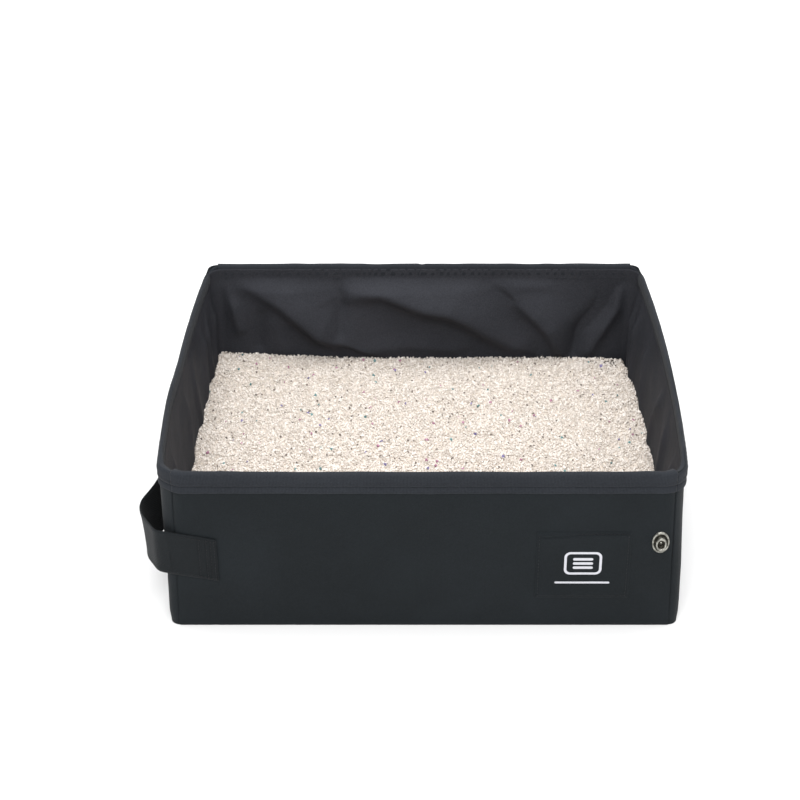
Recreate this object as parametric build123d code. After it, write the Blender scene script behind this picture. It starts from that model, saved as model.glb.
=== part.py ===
from build123d import *
from math import atan, cos, radians, sin, sqrt, tan
import os

# Foldable litter box, millimetres, +Z up, +X along the long walls, front wall towards -Y.
# Two long walls and two floor halves hold stiff boards, the short walls are soft fabric.

# Driving dimensions of the box
front_length = 392.0
box_depth = 360.0
wall_height = 148.0
front_corner_radius = 9.0
rear_corner_radius = 9.0
rim_bow = 6.0
hem_bow = 1.0
hem_spread = 3.2

# Sheet thicknesses
fabric_thickness = 0.6
side_fabric_thickness = 1.0
liner_thickness = 0.5
board_thickness = 2.2
board_slack = 0.1

# Clearances
body_gap = 0.3
sewing_slack = 0.12
fold_line_gap = 0.3

# Boards and the pockets that hold them
board_end_hem = 6.0
board_foot_hem = 5.0
board_top_hem = 14.0
board_crease_gap = 5.0
board_corner_radius = 6.0
crease_groove_radius = 4.0
crease_groove_depth = 0.45

# Rim binding tape
binding_height = 12.0
binding_thickness = 0.7
binding_edge_radius = 1.2
corner_gather_radius = 22.0

# Floor
floor_side_gap = 4.0
floor_corner_radius = 8.0
floor_liner_inset = 1.0

# Litter, one bed of loose granules on each floor half
litter_depth = 45.0
litter_swell = 1.4
litter_side_gap = 7.0
litter_wall_gap = 10.5
litter_corner_radius = 6.0
litter_edge_fall = 2.5

# Loose liner that hangs from the rim
liner_end_inset = 1.0
liner_fold = 9.0
liner_tuck = 1.5

# Closing strap
strap_width = 40.5
strap_thickness = 1.6
strap_foot_height = 47.0
strap_rise = 6.5
strap_sewn_start = 35.0
strap_hinge_inset = 5.0
strap_wall_clearance = 0.4
strap_hinge_reach = 0.9
strap_tail_reach = 0.05
strap_bulge = 18.0
strap_bulge_back = 40.0
strap_return_back = 80.0
strap_return_share = 0.36
strap_bend_share = 0.45
strap_near_back = 126.0
strap_tip_back = 166.0
strap_first_run = 11.0
strap_first_drop = 2.5
strap_tip_radius = 8.0

# Snap fastener, its two halves
snap_from_end = 9.0
snap_centre_height = 83.0
snap_flange_width = 14.0
snap_flange_height = 20.0
snap_flange_thickness = 1.1
snap_post_width = 8.6
snap_post_height = 12.4
snap_post_reach = 3.6
snap_dimple_share = 0.55
snap_dimple_depth = 1.6
snap_edge_bevel = 0.4
rivet_radius = 2.6
rivet_hole_slack = 0.2
washer_radius = 6.5
washer_thickness = 0.9
socket_depth = 3.0
socket_wall = 2.4
socket_play = 0.25
socket_floor = 0.8
cap_thickness = 1.8
cap_edge_bevel = 0.8
snap_tip_inset = 15.0

# Label patch sewn on the front wall
patch_width = 75.0
patch_height = 65.0
patch_thickness = 0.7
patch_foot = 28.0
patch_from_end = 32.0
patch_corner_radius = 2.0

# One overrun for all cuts
overrun = 2.0

# Places of the cross-sections along a liner panel, as shares of its half length
back_station_shares = (-1.0, -0.78, -0.54, -0.30, -0.06, 0.18, 0.42, 0.66, 1.0)
front_station_shares = (-1.0, -0.68, -0.36, -0.04, 0.30, 0.66, 1.0)
side_station_shares = (-1.0, -0.76, -0.52, -0.26, 0, 0.26, 0.52, 0.76, 1.0)
litter_station_shares = (-1.0, -0.96, -0.35, 0.30, 0.96, 1.0)
litter_swell_shares = (-2.0, -0.3, 0.9, -0.6, 0.4, -1.6)
upper_node_share = 0.64
lower_node_share = 0.30

# Fold tables: for each station the inward stand of the upper node, the lower node and the foot,
# then the bulge of the arcs above, between and below them, all as shares of the fold depth
back_fold_shares = (
    (0.25, 0.35, 0.20, 0.10, 0.10, 0),
    (0.75, 0.30, 0.15, -0.14, 0.26, 0),
    (0.40, 0.80, 0.25, 0.28, -0.24, 0),
    (0.95, 0.45, 0.15, -0.18, 0.32, 0),
    (0.50, 0.20, 0.20, 0.26, -0.08, 0),
    (0.85, 0.35, 0.15, -0.16, 0.20, 0),
    (0.30, 0.75, 0.30, 0.22, -0.24, 0),
    (0.70, 0.90, 0.50, 0.12, 0.20, 0),
    (0.20, 0.25, 0.15, 0.08, 0.10, 0),
)
front_fold_shares = (
    (0.35, 0.35, 0.20, 0.10, 0, 0),
    (0.65, 0.35, 0.15, -0.12, 0, 0),
    (0.40, 0.60, 0.20, 0.18, 0, 0),
    (0.30, 0.30, 0.15, 0.10, 0, 0),
    (0.60, 0.35, 0.20, -0.12, 0, 0),
    (0.40, 0.60, 0.20, 0.16, 0, 0),
    (0.50, 0.50, 0.20, 0.12, 0, 0),
)
side_fold_shares = (
    (0.25, 0.30, 0.25, 0.10, 0, 0),
    (0.60, 0.35, 0.30, -0.12, 0, 0),
    (0.35, 0.65, 0.35, 0.18, 0, 0),
    (0.65, 0.45, 0.30, -0.10, 0, 0),
    (0.45, 0.60, 0.30, 0.12, 0, 0),
    (0.65, 0.35, 0.35, -0.12, 0, 0),
    (0.40, 0.65, 0.35, 0.16, 0, 0),
    (0.70, 0.40, 0.30, -0.14, 0, 0),
    (0.25, 0.25, 0.25, 0.08, 0, 0),
)

# Sizes worked out from the driving dimensions
front_half = front_length / 2
half_depth = box_depth / 2
pocket_thickness = board_thickness + 2 * board_slack + 2 * fabric_thickness
floor_top = pocket_thickness + liner_thickness
wall_inner = half_depth - pocket_thickness
binding_foot = wall_height - binding_height
fabric_top = wall_height - binding_thickness
rim_turn = 2 * atan(2 * rim_bow / (box_depth - front_corner_radius - rear_corner_radius))
back_half = front_half + (front_corner_radius - rear_corner_radius) * cos(rim_turn)
floor_half = front_half + hem_spread + front_corner_radius - side_fabric_thickness - floor_side_gap
floor_run = wall_inner - body_gap - fold_line_gap / 2
side_channel = side_fabric_thickness + liner_thickness + 2 * sewing_slack
snap_x = front_half - snap_from_end
wall_outer_face = -half_depth


def side_curve(inset, bow, spread=0):
    """Corner points and arc middles of a short wall in plan, moved in by inset and out by spread."""
    turn = 2 * atan(2 * bow / (box_depth - front_corner_radius - rear_corner_radius))
    chord = box_depth - (front_corner_radius + rear_corner_radius) * (1 - sin(turn))
    bow_radius = chord / (2 * sin(turn))
    front_centre = (front_half + spread, -half_depth + front_corner_radius)
    front_r = front_corner_radius - inset
    bow_centre = (
        front_centre[0] + (front_corner_radius - bow_radius) * cos(turn),
        front_centre[1] - (front_corner_radius - bow_radius) * sin(turn),
    )
    bow_r = bow_radius - inset
    rear_centre = (
        bow_centre[0] + (bow_radius - rear_corner_radius) * cos(turn),
        bow_centre[1] + (bow_radius - rear_corner_radius) * sin(turn),
    )
    rear_r = rear_corner_radius - inset
    quarter = radians(90)
    return (
        on_circle(front_centre, front_r, -quarter),
        on_circle(front_centre, front_r, -(quarter + turn) / 2),
        on_circle(front_centre, front_r, -turn),
        on_circle(bow_centre, bow_r, 0),
        on_circle(rear_centre, rear_r, turn),
        on_circle(rear_centre, rear_r, (quarter + turn) / 2),
        on_circle(rear_centre, rear_r, quarter),
    )


def on_circle(centre, radius, angle):
    return (centre[0] + radius * cos(angle), centre[1] + radius * sin(angle))


def side_band(outer_inset, inner_inset, bow, height, spread=0):
    """Plan face of a short wall's layer between two insets, at one height."""
    out = side_curve(outer_inset, bow, spread)
    inn = side_curve(inner_inset, bow, spread)
    edges = [
        ThreePointArc(out[0], out[1], out[2]),
        ThreePointArc(out[2], out[3], out[4]),
        ThreePointArc(out[4], out[5], out[6]),
        Line(out[6], inn[6]),
        ThreePointArc(inn[6], inn[5], inn[4]),
        ThreePointArc(inn[4], inn[3], inn[2]),
        ThreePointArc(inn[2], inn[1], inn[0]),
        Line(inn[0], out[0]),
    ]
    return Pos(0, 0, height) * make_face(edges)


def plate(x_low, x_high, y_low, y_high, z_low, z_high):
    """A plain block between six planes."""
    centre = Pos((x_low + x_high) / 2, (y_low + y_high) / 2, (z_low + z_high) / 2)
    return centre * Box(x_high - x_low, y_high - y_low, z_high - z_low)


def board(half_length, run):
    """Right-hand stiff board of a pocket that is run high, in the pocket's own frame."""
    low_x = board_crease_gap / 2
    high_x = half_length - board_end_hem
    low_y = fabric_thickness + board_slack
    sheet = plate(low_x, high_x, low_y, low_y + board_thickness, board_foot_hem, run - board_top_hem)
    return fillet(sheet.edges().filter_by(Axis.Y), board_corner_radius)


def board_pocket(half_length, run, spread):
    """Two fabric layers sewn round a pair of boards, with a pinched fold line between them.

    The outer face lies on y = 0 and the pocket is open along its top edge, under the binding.
    Below the binding the ends run outwards by spread, down to the hem.
    """
    corners = (
        (-half_length - spread, 0),
        (half_length + spread, 0),
        (half_length, binding_foot),
        (half_length, run),
        (-half_length, run),
        (-half_length, binding_foot),
    )
    outline = Plane.XZ * make_face(Polyline(*corners, close=True))
    pocket = extrude(outline, amount=pocket_thickness, dir=(0, 1, 0))
    for side in (-1, 1):
        inner_x = board_crease_gap / 2 - board_slack
        outer_x = half_length - board_end_hem + board_slack
        low_x = min(side * inner_x, side * outer_x)
        high_x = max(side * inner_x, side * outer_x)
        pocket -= plate(
            low_x,
            high_x,
            fabric_thickness,
            pocket_thickness - fabric_thickness,
            board_foot_hem - board_slack,
            run + overrun,
        )
    for face_y, outward in ((0, -1), (pocket_thickness, 1)):
        axis_y = face_y + outward * (crease_groove_radius - crease_groove_depth)
        groove = Cylinder(crease_groove_radius, run + 2 * overrun)
        pocket -= Pos(0, axis_y, run / 2) * groove
    return pocket


def liner_section(station, wall_at, inward, along, top, foot, shares):
    """One cross-section of a hanging liner panel: a sewn band, then three slack arcs."""
    upper, lower, hem, bulge_a, bulge_b, bulge_c = shares
    drop = binding_foot - foot
    heights = (
        top,
        binding_foot,
        foot + upper_node_share * drop,
        foot + lower_node_share * drop,
        foot,
    )
    stands = (0, 0, upper * liner_fold, lower * liner_fold, hem * liner_fold)
    bulges = (bulge_a, bulge_b, bulge_c)

    def place(stand, height):
        reach = wall_at(station, height) - stand
        return Vector(
            along[0] * station - inward[0] * reach,
            along[1] * station - inward[1] * reach,
            height,
        )

    outer = [place(stand, height) for stand, height in zip(stands, heights)]
    inner = [place(stand + liner_thickness, height) for stand, height in zip(stands, heights)]
    middles = []
    for index, bulge in enumerate(bulges):
        a = index + 1
        b = index + 2
        middle_stand = (stands[a] + stands[b]) / 2 + bulge * liner_fold
        middle_height = (heights[a] + heights[b]) / 2
        middles.append((middle_stand, middle_height))
    edges = [Line(outer[0], outer[1])]
    for index, (stand, height) in enumerate(middles):
        bend = place(stand, height)
        edges.append(slack_run(outer[index + 1], bend, outer[index + 2], bulges[index]))
    edges.append(Line(outer[4], inner[4]))
    for index in (2, 1, 0):
        stand, height = middles[index]
        bend = place(stand + liner_thickness, height)
        edges.append(slack_run(inner[index + 2], bend, inner[index + 1], bulges[index]))
    edges.append(Line(inner[1], inner[0]))
    edges.append(Line(inner[0], outer[0]))
    return make_face(edges)


def slack_run(start, bend, end, bulge):
    """A stretch of liner between two nodes: an arc where it bulges, else straight."""
    if bulge == 0:
        return Line(start, end)
    return ThreePointArc(start, bend, end)


def hanging_liner(half_run, wall_at, inward, along, stations, fold_shares):
    """A loose liner panel with its main folds, hung from the rim binding."""
    sections = []
    for share, row in zip(stations, fold_shares):
        station = share * half_run
        section = liner_section(
            station,
            wall_at,
            inward,
            along,
            wall_height - liner_tuck,
            floor_top + body_gap,
            row,
        )
        sections.append(section)
    return loft(sections, ruled=True)


def straight_binding(half_length, face_y):
    """Tape folded over the top of a long wall, its channel closed on the pocket and the liner."""
    low_y = face_y - binding_thickness
    high_y = face_y + pocket_thickness + liner_thickness + binding_thickness
    tape = plate(-half_length, half_length, low_y, high_y, binding_foot, wall_height)
    top_edges = tape.edges().filter_by(Axis.X).group_by(Axis.Z)[-1]
    tape = fillet(top_edges, binding_edge_radius)
    channel = plate(
        -half_length - overrun,
        half_length + overrun,
        face_y,
        high_y - binding_thickness,
        binding_foot - overrun,
        fabric_top,
    )
    return tape - channel


def side_wall():
    """Right-hand soft short wall, straight at its hem and bowed at its rim."""
    hem = side_band(0, side_fabric_thickness, hem_bow, 0, hem_spread)
    shoulder = side_band(0, side_fabric_thickness, rim_bow, binding_foot)
    lower = loft([hem, shoulder], ruled=True)
    upper = extrude(shoulder, amount=fabric_top - binding_foot, dir=(0, 0, 1))
    return lower + upper


def side_binding():
    """Right-hand rim tape, gathered thicker in the front corner."""
    outside = side_band(-binding_thickness, side_channel + binding_thickness, rim_bow, binding_foot)
    tape = extrude(outside, amount=binding_height, dir=(0, 0, 1))
    low_y = -wall_inner + liner_thickness + binding_thickness + body_gap
    high_x = side_curve(side_channel + binding_thickness / 2, rim_bow)[2][0]
    low_x = high_x - corner_gather_radius
    gather = plate(low_x, high_x, low_y, low_y + corner_gather_radius, binding_foot, wall_height)
    hollow = Cylinder(corner_gather_radius, binding_height + 2 * overrun)
    gather -= Pos(low_x, low_y + corner_gather_radius, binding_foot + binding_height / 2) * hollow
    channel_face = side_band(0, side_channel, rim_bow, binding_foot)
    channel = extrude(channel_face, amount=fabric_top - binding_foot, dir=(0, 0, 1))
    return tape + gather - channel


def long_reach(station, height):
    """Distance of a long wall's inner face from the centre plane, the same at every place."""
    return wall_inner


def side_reach(station, height):
    """Distance of a short wall's inner face from the centre plane, at one place on it."""
    share = min(height / binding_foot, 1)
    bow = hem_bow + share * (rim_bow - hem_bow)
    spread = (1 - share) * hem_spread
    start, crown, end = side_curve(side_fabric_thickness + sewing_slack, bow, spread)[2:5]
    half_run = (end[1] - start[1]) / 2
    rise = crown[0] - start[0]
    radius = (half_run * half_run + rise * rise) / (2 * rise)
    off = station - crown[1]
    return crown[0] - radius + sqrt(radius * radius - off * off)


def oval(width, height, depth, near_y):
    """Upright oval disc with its axis along Y, from near_y towards -Y."""
    face = Plane.XZ * SlotOverall(height, width, rotation=90)
    return Pos(0, near_y, 0) * extrude(face, amount=depth, dir=(0, -1, 0))


def rivet(length, near_y):
    return Pos(0, near_y - length / 2, 0) * Rot(90, 0, 0) * Cylinder(rivet_radius, length)


def snap_stud():
    """Fixed half of the snap: an oval flange, a hollow post and the rivet through the wall."""
    flange = oval(snap_flange_width, snap_flange_height, snap_flange_thickness, 0)
    flange = chamfer(flange.edges().group_by(Axis.Y)[0], snap_edge_bevel)
    post = oval(snap_post_width, snap_post_height, snap_post_reach, 0)
    post = chamfer(post.edges().group_by(Axis.Y)[0], 2 * snap_edge_bevel)
    dimple_width = snap_post_width * snap_dimple_share
    dimple_height = snap_post_height * snap_dimple_share
    dimple = oval(dimple_width, dimple_height, snap_dimple_depth + overrun, -snap_post_reach + snap_dimple_depth)
    shank = rivet(pocket_thickness, pocket_thickness)
    return flange + post + shank - dimple


def snap_washer():
    """Backing ring that the rivet is set against, on the inner face of the wall."""
    ring = Cylinder(washer_radius, washer_thickness) - Cylinder(rivet_radius, washer_thickness + overrun)
    return Pos(0, pocket_thickness + washer_thickness / 2, 0) * Rot(90, 0, 0) * ring


def snap_socket():
    """Moving half of the snap, a cup that takes the post; its back lies on y = 0."""
    width = snap_post_width + 2 * socket_play + 2 * socket_wall
    height = snap_post_height + 2 * socket_play + 2 * socket_wall
    cup = oval(width, height, socket_depth, 0)
    cup = chamfer(cup.edges().group_by(Axis.Y)[0], snap_edge_bevel)
    bore = oval(
        snap_post_width + 2 * socket_play,
        snap_post_height + 2 * socket_play,
        socket_depth + overrun,
        -socket_floor,
    )
    return cup - bore


def snap_cap():
    """Domed cap on the outside of the strap, with the rivet that holds the socket."""
    cap = Rot(0, 0, 180) * oval(snap_flange_width, snap_flange_height, cap_thickness, 0)
    cap = chamfer(cap.edges().group_by(Axis.Y)[-1], cap_edge_bevel)
    return Pos(0, strap_thickness, 0) * cap + rivet(strap_thickness, strap_thickness)


def strap_path():
    """Plan line of the loose strap's middle, from the front corner back along the left wall."""
    start_x = -front_half - strap_hinge_inset
    start_y = wall_outer_face - strap_wall_clearance - strap_thickness / 2
    side_x = -side_curve(0, rim_bow)[3][0] - body_gap - socket_depth - strap_thickness / 2
    points = (
        (start_x - strap_tail_reach, start_y),
        (start_x - strap_first_run, start_y + strap_first_drop),
        (side_x - strap_bulge, start_y + strap_bulge_back),
        (side_x - strap_bulge * strap_return_share, start_y + strap_return_back),
        (side_x, start_y + strap_near_back),
        (side_x, start_y + strap_tip_back),
    )
    runs = [(Vector(*b) - Vector(*a)).length for a, b in zip(points, points[1:])]
    radii = []
    for index in range(1, len(points) - 1):
        before = Vector(*points[index]) - Vector(*points[index - 1])
        after = Vector(*points[index + 1]) - Vector(*points[index])
        turn = radians(before.get_angle(after))
        radii.append(strap_bend_share * min(runs[index - 1], runs[index]) / tan(turn / 2))
    return FilletPolyline(*points, radius=radii)


def strap_tail():
    """Loose length of the strap, bulging round the corner, with a rounded tip."""
    path = strap_path()
    low = strap_foot_height + strap_rise
    upright = Plane(origin=path @ 0, x_dir=(0, 0, 1), z_dir=path % 0)
    profile = upright * Rectangle(strap_width, strap_thickness)
    band = sweep(profile, path=path)
    band = Pos(0, 0, low + strap_width / 2) * band
    tip = path @ 1
    tip_edges = []
    for edge in band.edges():
        near = (edge.center() - Vector(tip.X, tip.Y, edge.center().Z)).length < strap_thickness
        if near and abs(edge.length - strap_thickness) < strap_thickness / 10:
            tip_edges.append(edge)
    band = fillet(tip_edges, strap_tip_radius)
    hole = Rot(0, 90, 0) * Cylinder(rivet_radius + rivet_hole_slack, strap_thickness + 2 * overrun)
    return band - tip_place() * hole


def tip_place():
    """Where the snap's moving half sits, on the middle of the strap near its tip."""
    path = strap_path()
    share = 1 - snap_tip_inset / path.length
    point = path @ share
    return Pos(point.X, point.Y, strap_foot_height + strap_rise + strap_width / 2)


def strap_sewn_end():
    """Flat end of the strap on the front wall, rising towards the corner."""
    start_x = -front_half + strap_sewn_start
    end_x = -front_half - strap_hinge_inset + strap_hinge_reach
    low = strap_foot_height
    corners = (
        (start_x, low),
        (start_x, low + strap_width),
        (end_x, low + strap_rise + strap_width),
        (end_x, low + strap_rise),
    )
    outline = Plane.XZ * make_face(Polyline(*corners, close=True))
    back_y = wall_outer_face - strap_wall_clearance
    return Pos(0, back_y, 0) * extrude(outline, amount=strap_thickness, dir=(0, -1, 0))


def floor_sheet():
    """Liner over one floor half, in the pocket's own frame."""
    half = floor_half - floor_liner_inset
    low = floor_liner_inset
    return plate(-half, half, pocket_thickness, floor_top, low, floor_run)


def floor_corner(half_length):
    """Blocks that round the two wall-side corners of a floor half, in the pocket's own frame."""
    cutters = []
    for side in (-1, 1):
        low_x = min(side * half_length, side * (half_length - floor_corner_radius))
        high_x = max(side * half_length, side * (half_length - floor_corner_radius))
        block = plate(low_x, high_x, -overrun, floor_top + overrun, 0, floor_corner_radius)
        rod = Rot(90, 0, 0) * Cylinder(floor_corner_radius, floor_top + 4 * overrun)
        centre_x = side * (half_length - floor_corner_radius)
        cutters.append(block - Pos(centre_x, 0, floor_corner_radius) * rod)
    return cutters


def litter_bed():
    """Loose granules on the back floor half: a low mound with sloped, rounded edges."""
    half = floor_half - litter_side_gap
    low_y = fold_line_gap / 2
    high_y = wall_inner - litter_wall_gap
    sections = []
    for share, swell in zip(litter_station_shares, litter_swell_shares):
        top = floor_top + litter_depth + swell * litter_swell
        crest = top + litter_swell
        edge = top - litter_edge_fall
        edges = [
            Line((0, low_y, floor_top), (0, low_y, top)),
            ThreePointArc((0, low_y, top), (0, (low_y + high_y) / 2, crest), (0, high_y - litter_depth / 4, top)),
            Line((0, high_y - litter_depth / 4, top), (0, high_y, edge)),
            Line((0, high_y, edge), (0, high_y, floor_top)),
            Line((0, high_y, floor_top), (0, low_y, floor_top)),
        ]
        sections.append(Pos(share * half, 0, 0) * make_face(edges))
    bed = loft(sections, ruled=True)
    upright = bed.edges().filter_by(Axis.Z).group_by(Axis.Y)[-1]
    outer = [edge for edge in upright if abs(abs(edge.center().X) - half) < overrun]
    return fillet(outer, litter_corner_radius)


def lay_back(shape):
    """Turns a pocket-frame shape flat onto the ground behind the centre line."""
    return Pos(0, wall_inner - body_gap, 0) * Rot(90, 0, 0) * shape


def lay_front(shape):
    return mirror(lay_back(shape), about=Plane.XZ)


def stand_front(shape):
    return Pos(0, wall_outer_face, 0) * shape


def stand_back(shape):
    return mirror(stand_front(shape), about=Plane.XZ)


def left(shape):
    return mirror(shape, about=Plane.YZ)


parts = {}

# Long walls
snap_seat = Pos(snap_x, 0, snap_centre_height)
rivet_hole = snap_seat * Rot(90, 0, 0) * Cylinder(rivet_radius + rivet_hole_slack, 4 * pocket_thickness)
front_pocket_half = front_half - body_gap
front_board = board(front_pocket_half, fabric_top)
back_board = board(back_half, fabric_top)
parts["front_wall_fabric"] = stand_front(board_pocket(front_pocket_half, fabric_top, hem_spread) - rivet_hole)
parts["front_board_right"] = stand_front(front_board - rivet_hole)
parts["front_board_left"] = stand_front(left(front_board))
parts["back_wall_fabric"] = stand_back(board_pocket(back_half, fabric_top, hem_spread))
parts["back_board_right"] = stand_back(back_board)
parts["back_board_left"] = stand_back(left(back_board))

# Floor halves
floor_pocket = board_pocket(floor_half, floor_run, 0)
floor_lining = floor_sheet()
floor_board = board(floor_half, floor_run)
for cutter in floor_corner(floor_half):
    floor_pocket -= cutter
    floor_lining -= cutter
for name, lay in (("back", lay_back), ("front", lay_front)):
    parts[f"floor_{name}_fabric"] = lay(floor_pocket)
    parts[f"floor_{name}_board_right"] = lay(floor_board)
    parts[f"floor_{name}_board_left"] = lay(left(floor_board))
    parts[f"floor_{name}_liner"] = lay(floor_lining)

# Litter
parts["litter_back"] = litter_bed()
parts["litter_front"] = mirror(litter_bed(), about=Plane.XZ)

# Soft short walls
parts["right_wall_fabric"] = side_wall()
parts["left_wall_fabric"] = left(parts["right_wall_fabric"])

# Rim binding
parts["front_rim_binding"] = straight_binding(front_pocket_half, wall_outer_face)
parts["back_rim_binding"] = mirror(straight_binding(back_half, wall_outer_face), about=Plane.XZ)
parts["right_rim_binding"] = side_binding()
parts["left_rim_binding"] = left(parts["right_rim_binding"])

# Hanging liners
long_liner_half = front_half - liner_end_inset
side_liner_half = half_depth - front_corner_radius
parts["back_wall_liner"] = hanging_liner(
    long_liner_half, long_reach, (0, -1), (1, 0), back_station_shares, back_fold_shares
)
parts["front_wall_liner"] = hanging_liner(
    long_liner_half, long_reach, (0, 1), (1, 0), front_station_shares, front_fold_shares
)
parts["right_wall_liner"] = hanging_liner(
    side_liner_half, side_reach, (-1, 0), (0, 1), side_station_shares, side_fold_shares
)
parts["left_wall_liner"] = left(parts["right_wall_liner"])

# Label patch
patch_end = front_half - patch_from_end
patch = plate(
    patch_end - patch_width,
    patch_end,
    wall_outer_face - patch_thickness,
    wall_outer_face,
    patch_foot,
    patch_foot + patch_height,
)
parts["label_patch"] = fillet(patch.edges().filter_by(Axis.Y), patch_corner_radius)

# Strap and snap
parts["strap_sewn_end"] = strap_sewn_end()
parts["strap_tail"] = strap_tail()
parts["snap_stud"] = stand_front(snap_seat * snap_stud())
parts["snap_washer"] = stand_front(snap_seat * snap_washer())
strap_side = tip_place() * Rot(0, 0, 90) * Pos(0, -strap_thickness / 2, 0)
parts["snap_socket"] = strap_side * snap_socket()
parts["snap_cap"] = strap_side * snap_cap()

# The origin stands under the middle of the whole object
corners = [shape.bounding_box() for shape in parts.values()]
low_x = min(box.min.X for box in corners)
high_x = max(box.max.X for box in corners)
low_y = min(box.min.Y for box in corners)
high_y = max(box.max.Y for box in corners)
to_origin = Pos(-(low_x + high_x) / 2, -(low_y + high_y) / 2, 0)

os.makedirs("parts", exist_ok=True)
for node, shape in parts.items():
    export_step(to_origin * shape, f"parts/{node}.step")
print("origin moved by", to_origin.position)
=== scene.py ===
import math
import bpy
import numpy as np
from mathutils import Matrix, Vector, noise


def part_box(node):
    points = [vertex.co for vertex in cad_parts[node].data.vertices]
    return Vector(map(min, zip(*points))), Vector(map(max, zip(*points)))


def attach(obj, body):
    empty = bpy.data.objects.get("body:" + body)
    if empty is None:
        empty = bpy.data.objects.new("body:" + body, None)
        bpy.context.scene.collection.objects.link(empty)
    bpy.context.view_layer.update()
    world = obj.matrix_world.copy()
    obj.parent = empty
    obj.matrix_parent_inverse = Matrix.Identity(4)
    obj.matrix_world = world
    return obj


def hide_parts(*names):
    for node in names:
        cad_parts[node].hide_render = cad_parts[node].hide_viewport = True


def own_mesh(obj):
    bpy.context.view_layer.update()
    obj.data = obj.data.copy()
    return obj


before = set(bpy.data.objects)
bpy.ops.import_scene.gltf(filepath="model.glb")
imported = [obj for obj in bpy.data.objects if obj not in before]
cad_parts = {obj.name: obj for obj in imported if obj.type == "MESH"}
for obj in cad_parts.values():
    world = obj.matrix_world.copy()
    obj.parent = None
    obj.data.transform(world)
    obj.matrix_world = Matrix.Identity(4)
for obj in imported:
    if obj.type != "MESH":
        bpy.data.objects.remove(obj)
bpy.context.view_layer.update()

# Lengths are millimetres in the box's own frame, centred between the walls; over METRE they are metres
METRE = 1000.0
FRONT_HALF = 196.0
HALF_DEPTH = 180.0
WALL_HEIGHT = 148.0
CORNER_R = 9.0
RIM_CORNER_R = 19.0
RIM_BOW = 6.0
HEM_BOW = 1.0
HEM_SPREAD = 3.2
LEFT_BULGE = 2.6
POCKET = 3.6
WALL_INNER = HALF_DEPTH - POCKET
TAPE_HEIGHT = 12.0
TAPE_FOOT = WALL_HEIGHT - TAPE_HEIGHT
BACK_HEM = TAPE_FOOT - 2.8
SECOND_ROW = 6.4
FABRIC_TOP = WALL_HEIGHT - 0.7
WALL_CLOTH = 0.9
FLOOR_HALF = 203.2
FLOOR_CORNER = 8.0
FLOOR_GAP = 0.3
FLOOR_RUN = WALL_INNER - FLOOR_GAP - FLOOR_GAP / 2
FLOOR_TOP = 4.1
LITTER_TOP = 49.5

# The record's origin lies this far from the centre of the box
front_low, front_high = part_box("front_wall_fabric")
SHIFT = ((front_low[0] + front_high[0]) / 2 * METRE, front_low[1] * METRE + HALF_DEPTH)


# Mesh helpers

def metres(points):
    out = np.asarray(points, dtype=float).copy()
    out[..., 0] += SHIFT[0]
    out[..., 1] += SHIFT[1]
    return out / METRE


def link(name, mesh):
    obj = bpy.data.objects.new(name, mesh)
    bpy.context.scene.collection.objects.link(obj)
    return obj


def make_object(name, verts, faces, uvs, material, smooth=True):
    """Mesh object from points in box millimetres; uvs, where given, are per corner, in metres."""
    mesh = bpy.data.meshes.new(name)
    mesh.from_pydata(metres(verts).reshape(-1, 3).tolist(), [], faces)
    if uvs is not None:
        layer = mesh.uv_layers.new(name="UVMap")
        layer.data.foreach_set("uv", np.asarray(uvs, dtype=np.float32).reshape(-1))
    if smooth:
        mesh.polygons.foreach_set("use_smooth", [True] * len(mesh.polygons))
    mesh.validate()
    mesh.materials.append(material)
    return fix_outward(link(name, mesh))


def fix_outward(obj):
    """Turns a closed mesh's faces outward when its signed volume is negative."""
    mesh = obj.data
    mesh.calc_loop_triangles()
    total = 0.0
    for tri in mesh.loop_triangles:
        a, b, c = (mesh.vertices[k].co for k in tri.vertices)
        total += a.dot(b.cross(c))
    if total < 0:
        mesh.flip_normals()
    return obj


def loft(name, loops, u, v, material):
    """Closed skin through closed loops (stations x points x 3), capped; u and v are uv runs in mm."""
    loops = np.asarray(loops, dtype=float)
    n, m, _ = loops.shape
    faces = []
    uvs = []
    for i in range(n - 1):
        a = i * m
        b = (i + 1) * m
        for j in range(m):
            k = (j + 1) % m
            faces.append((a + j, b + j, b + k, a + k))
            uvs.extend(((u[i], v[j]), (u[i + 1], v[j]), (u[i + 1], v[j + 1]), (u[i], v[j + 1])))
    faces.append(tuple(range(m)))
    uvs.extend((loops[0, j, 1], loops[0, j, 2]) for j in range(m))
    faces.append(tuple((n - 1) * m + j for j in reversed(range(m))))
    uvs.extend((loops[-1, j, 1], loops[-1, j, 2]) for j in reversed(range(m)))
    obj = make_object(name, loops.reshape(-1, 3), faces, np.array(uvs) / METRE, material)
    for cap in (-1, -2):
        obj.data.polygons[len(faces) + cap].use_smooth = False
    return obj


def normals_of(surface):
    n = np.cross(np.gradient(surface, axis=0), np.gradient(surface, axis=1))
    length = np.linalg.norm(n, axis=2, keepdims=True)
    return n / np.maximum(length, 1e-9)


def cloth(name, surface, u, v, thickness, material, inward=1):
    """Closed sheet: a grid of points and its copy set back along the normals."""
    back = surface - inward * normals_of(surface) * thickness
    loops = np.concatenate([surface, back[:, ::-1]], axis=1)
    v = np.asarray(v, dtype=float)
    return loft(name, loops, u, np.concatenate([v, v[::-1], v[:1]]), material)


def wave(x, y=0.0, scale=1.0, seed=0.0):
    """Smooth noise in -1..1 at points given in mm."""
    x, y = np.broadcast_arrays(np.asarray(x, float), np.asarray(y, float))
    flat = [noise.noise(Vector((a / scale + seed, b / scale - seed, 2.7 * seed)))
            for a, b in zip(x.reshape(-1), y.reshape(-1))]
    return np.array(flat).reshape(x.shape)


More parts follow.
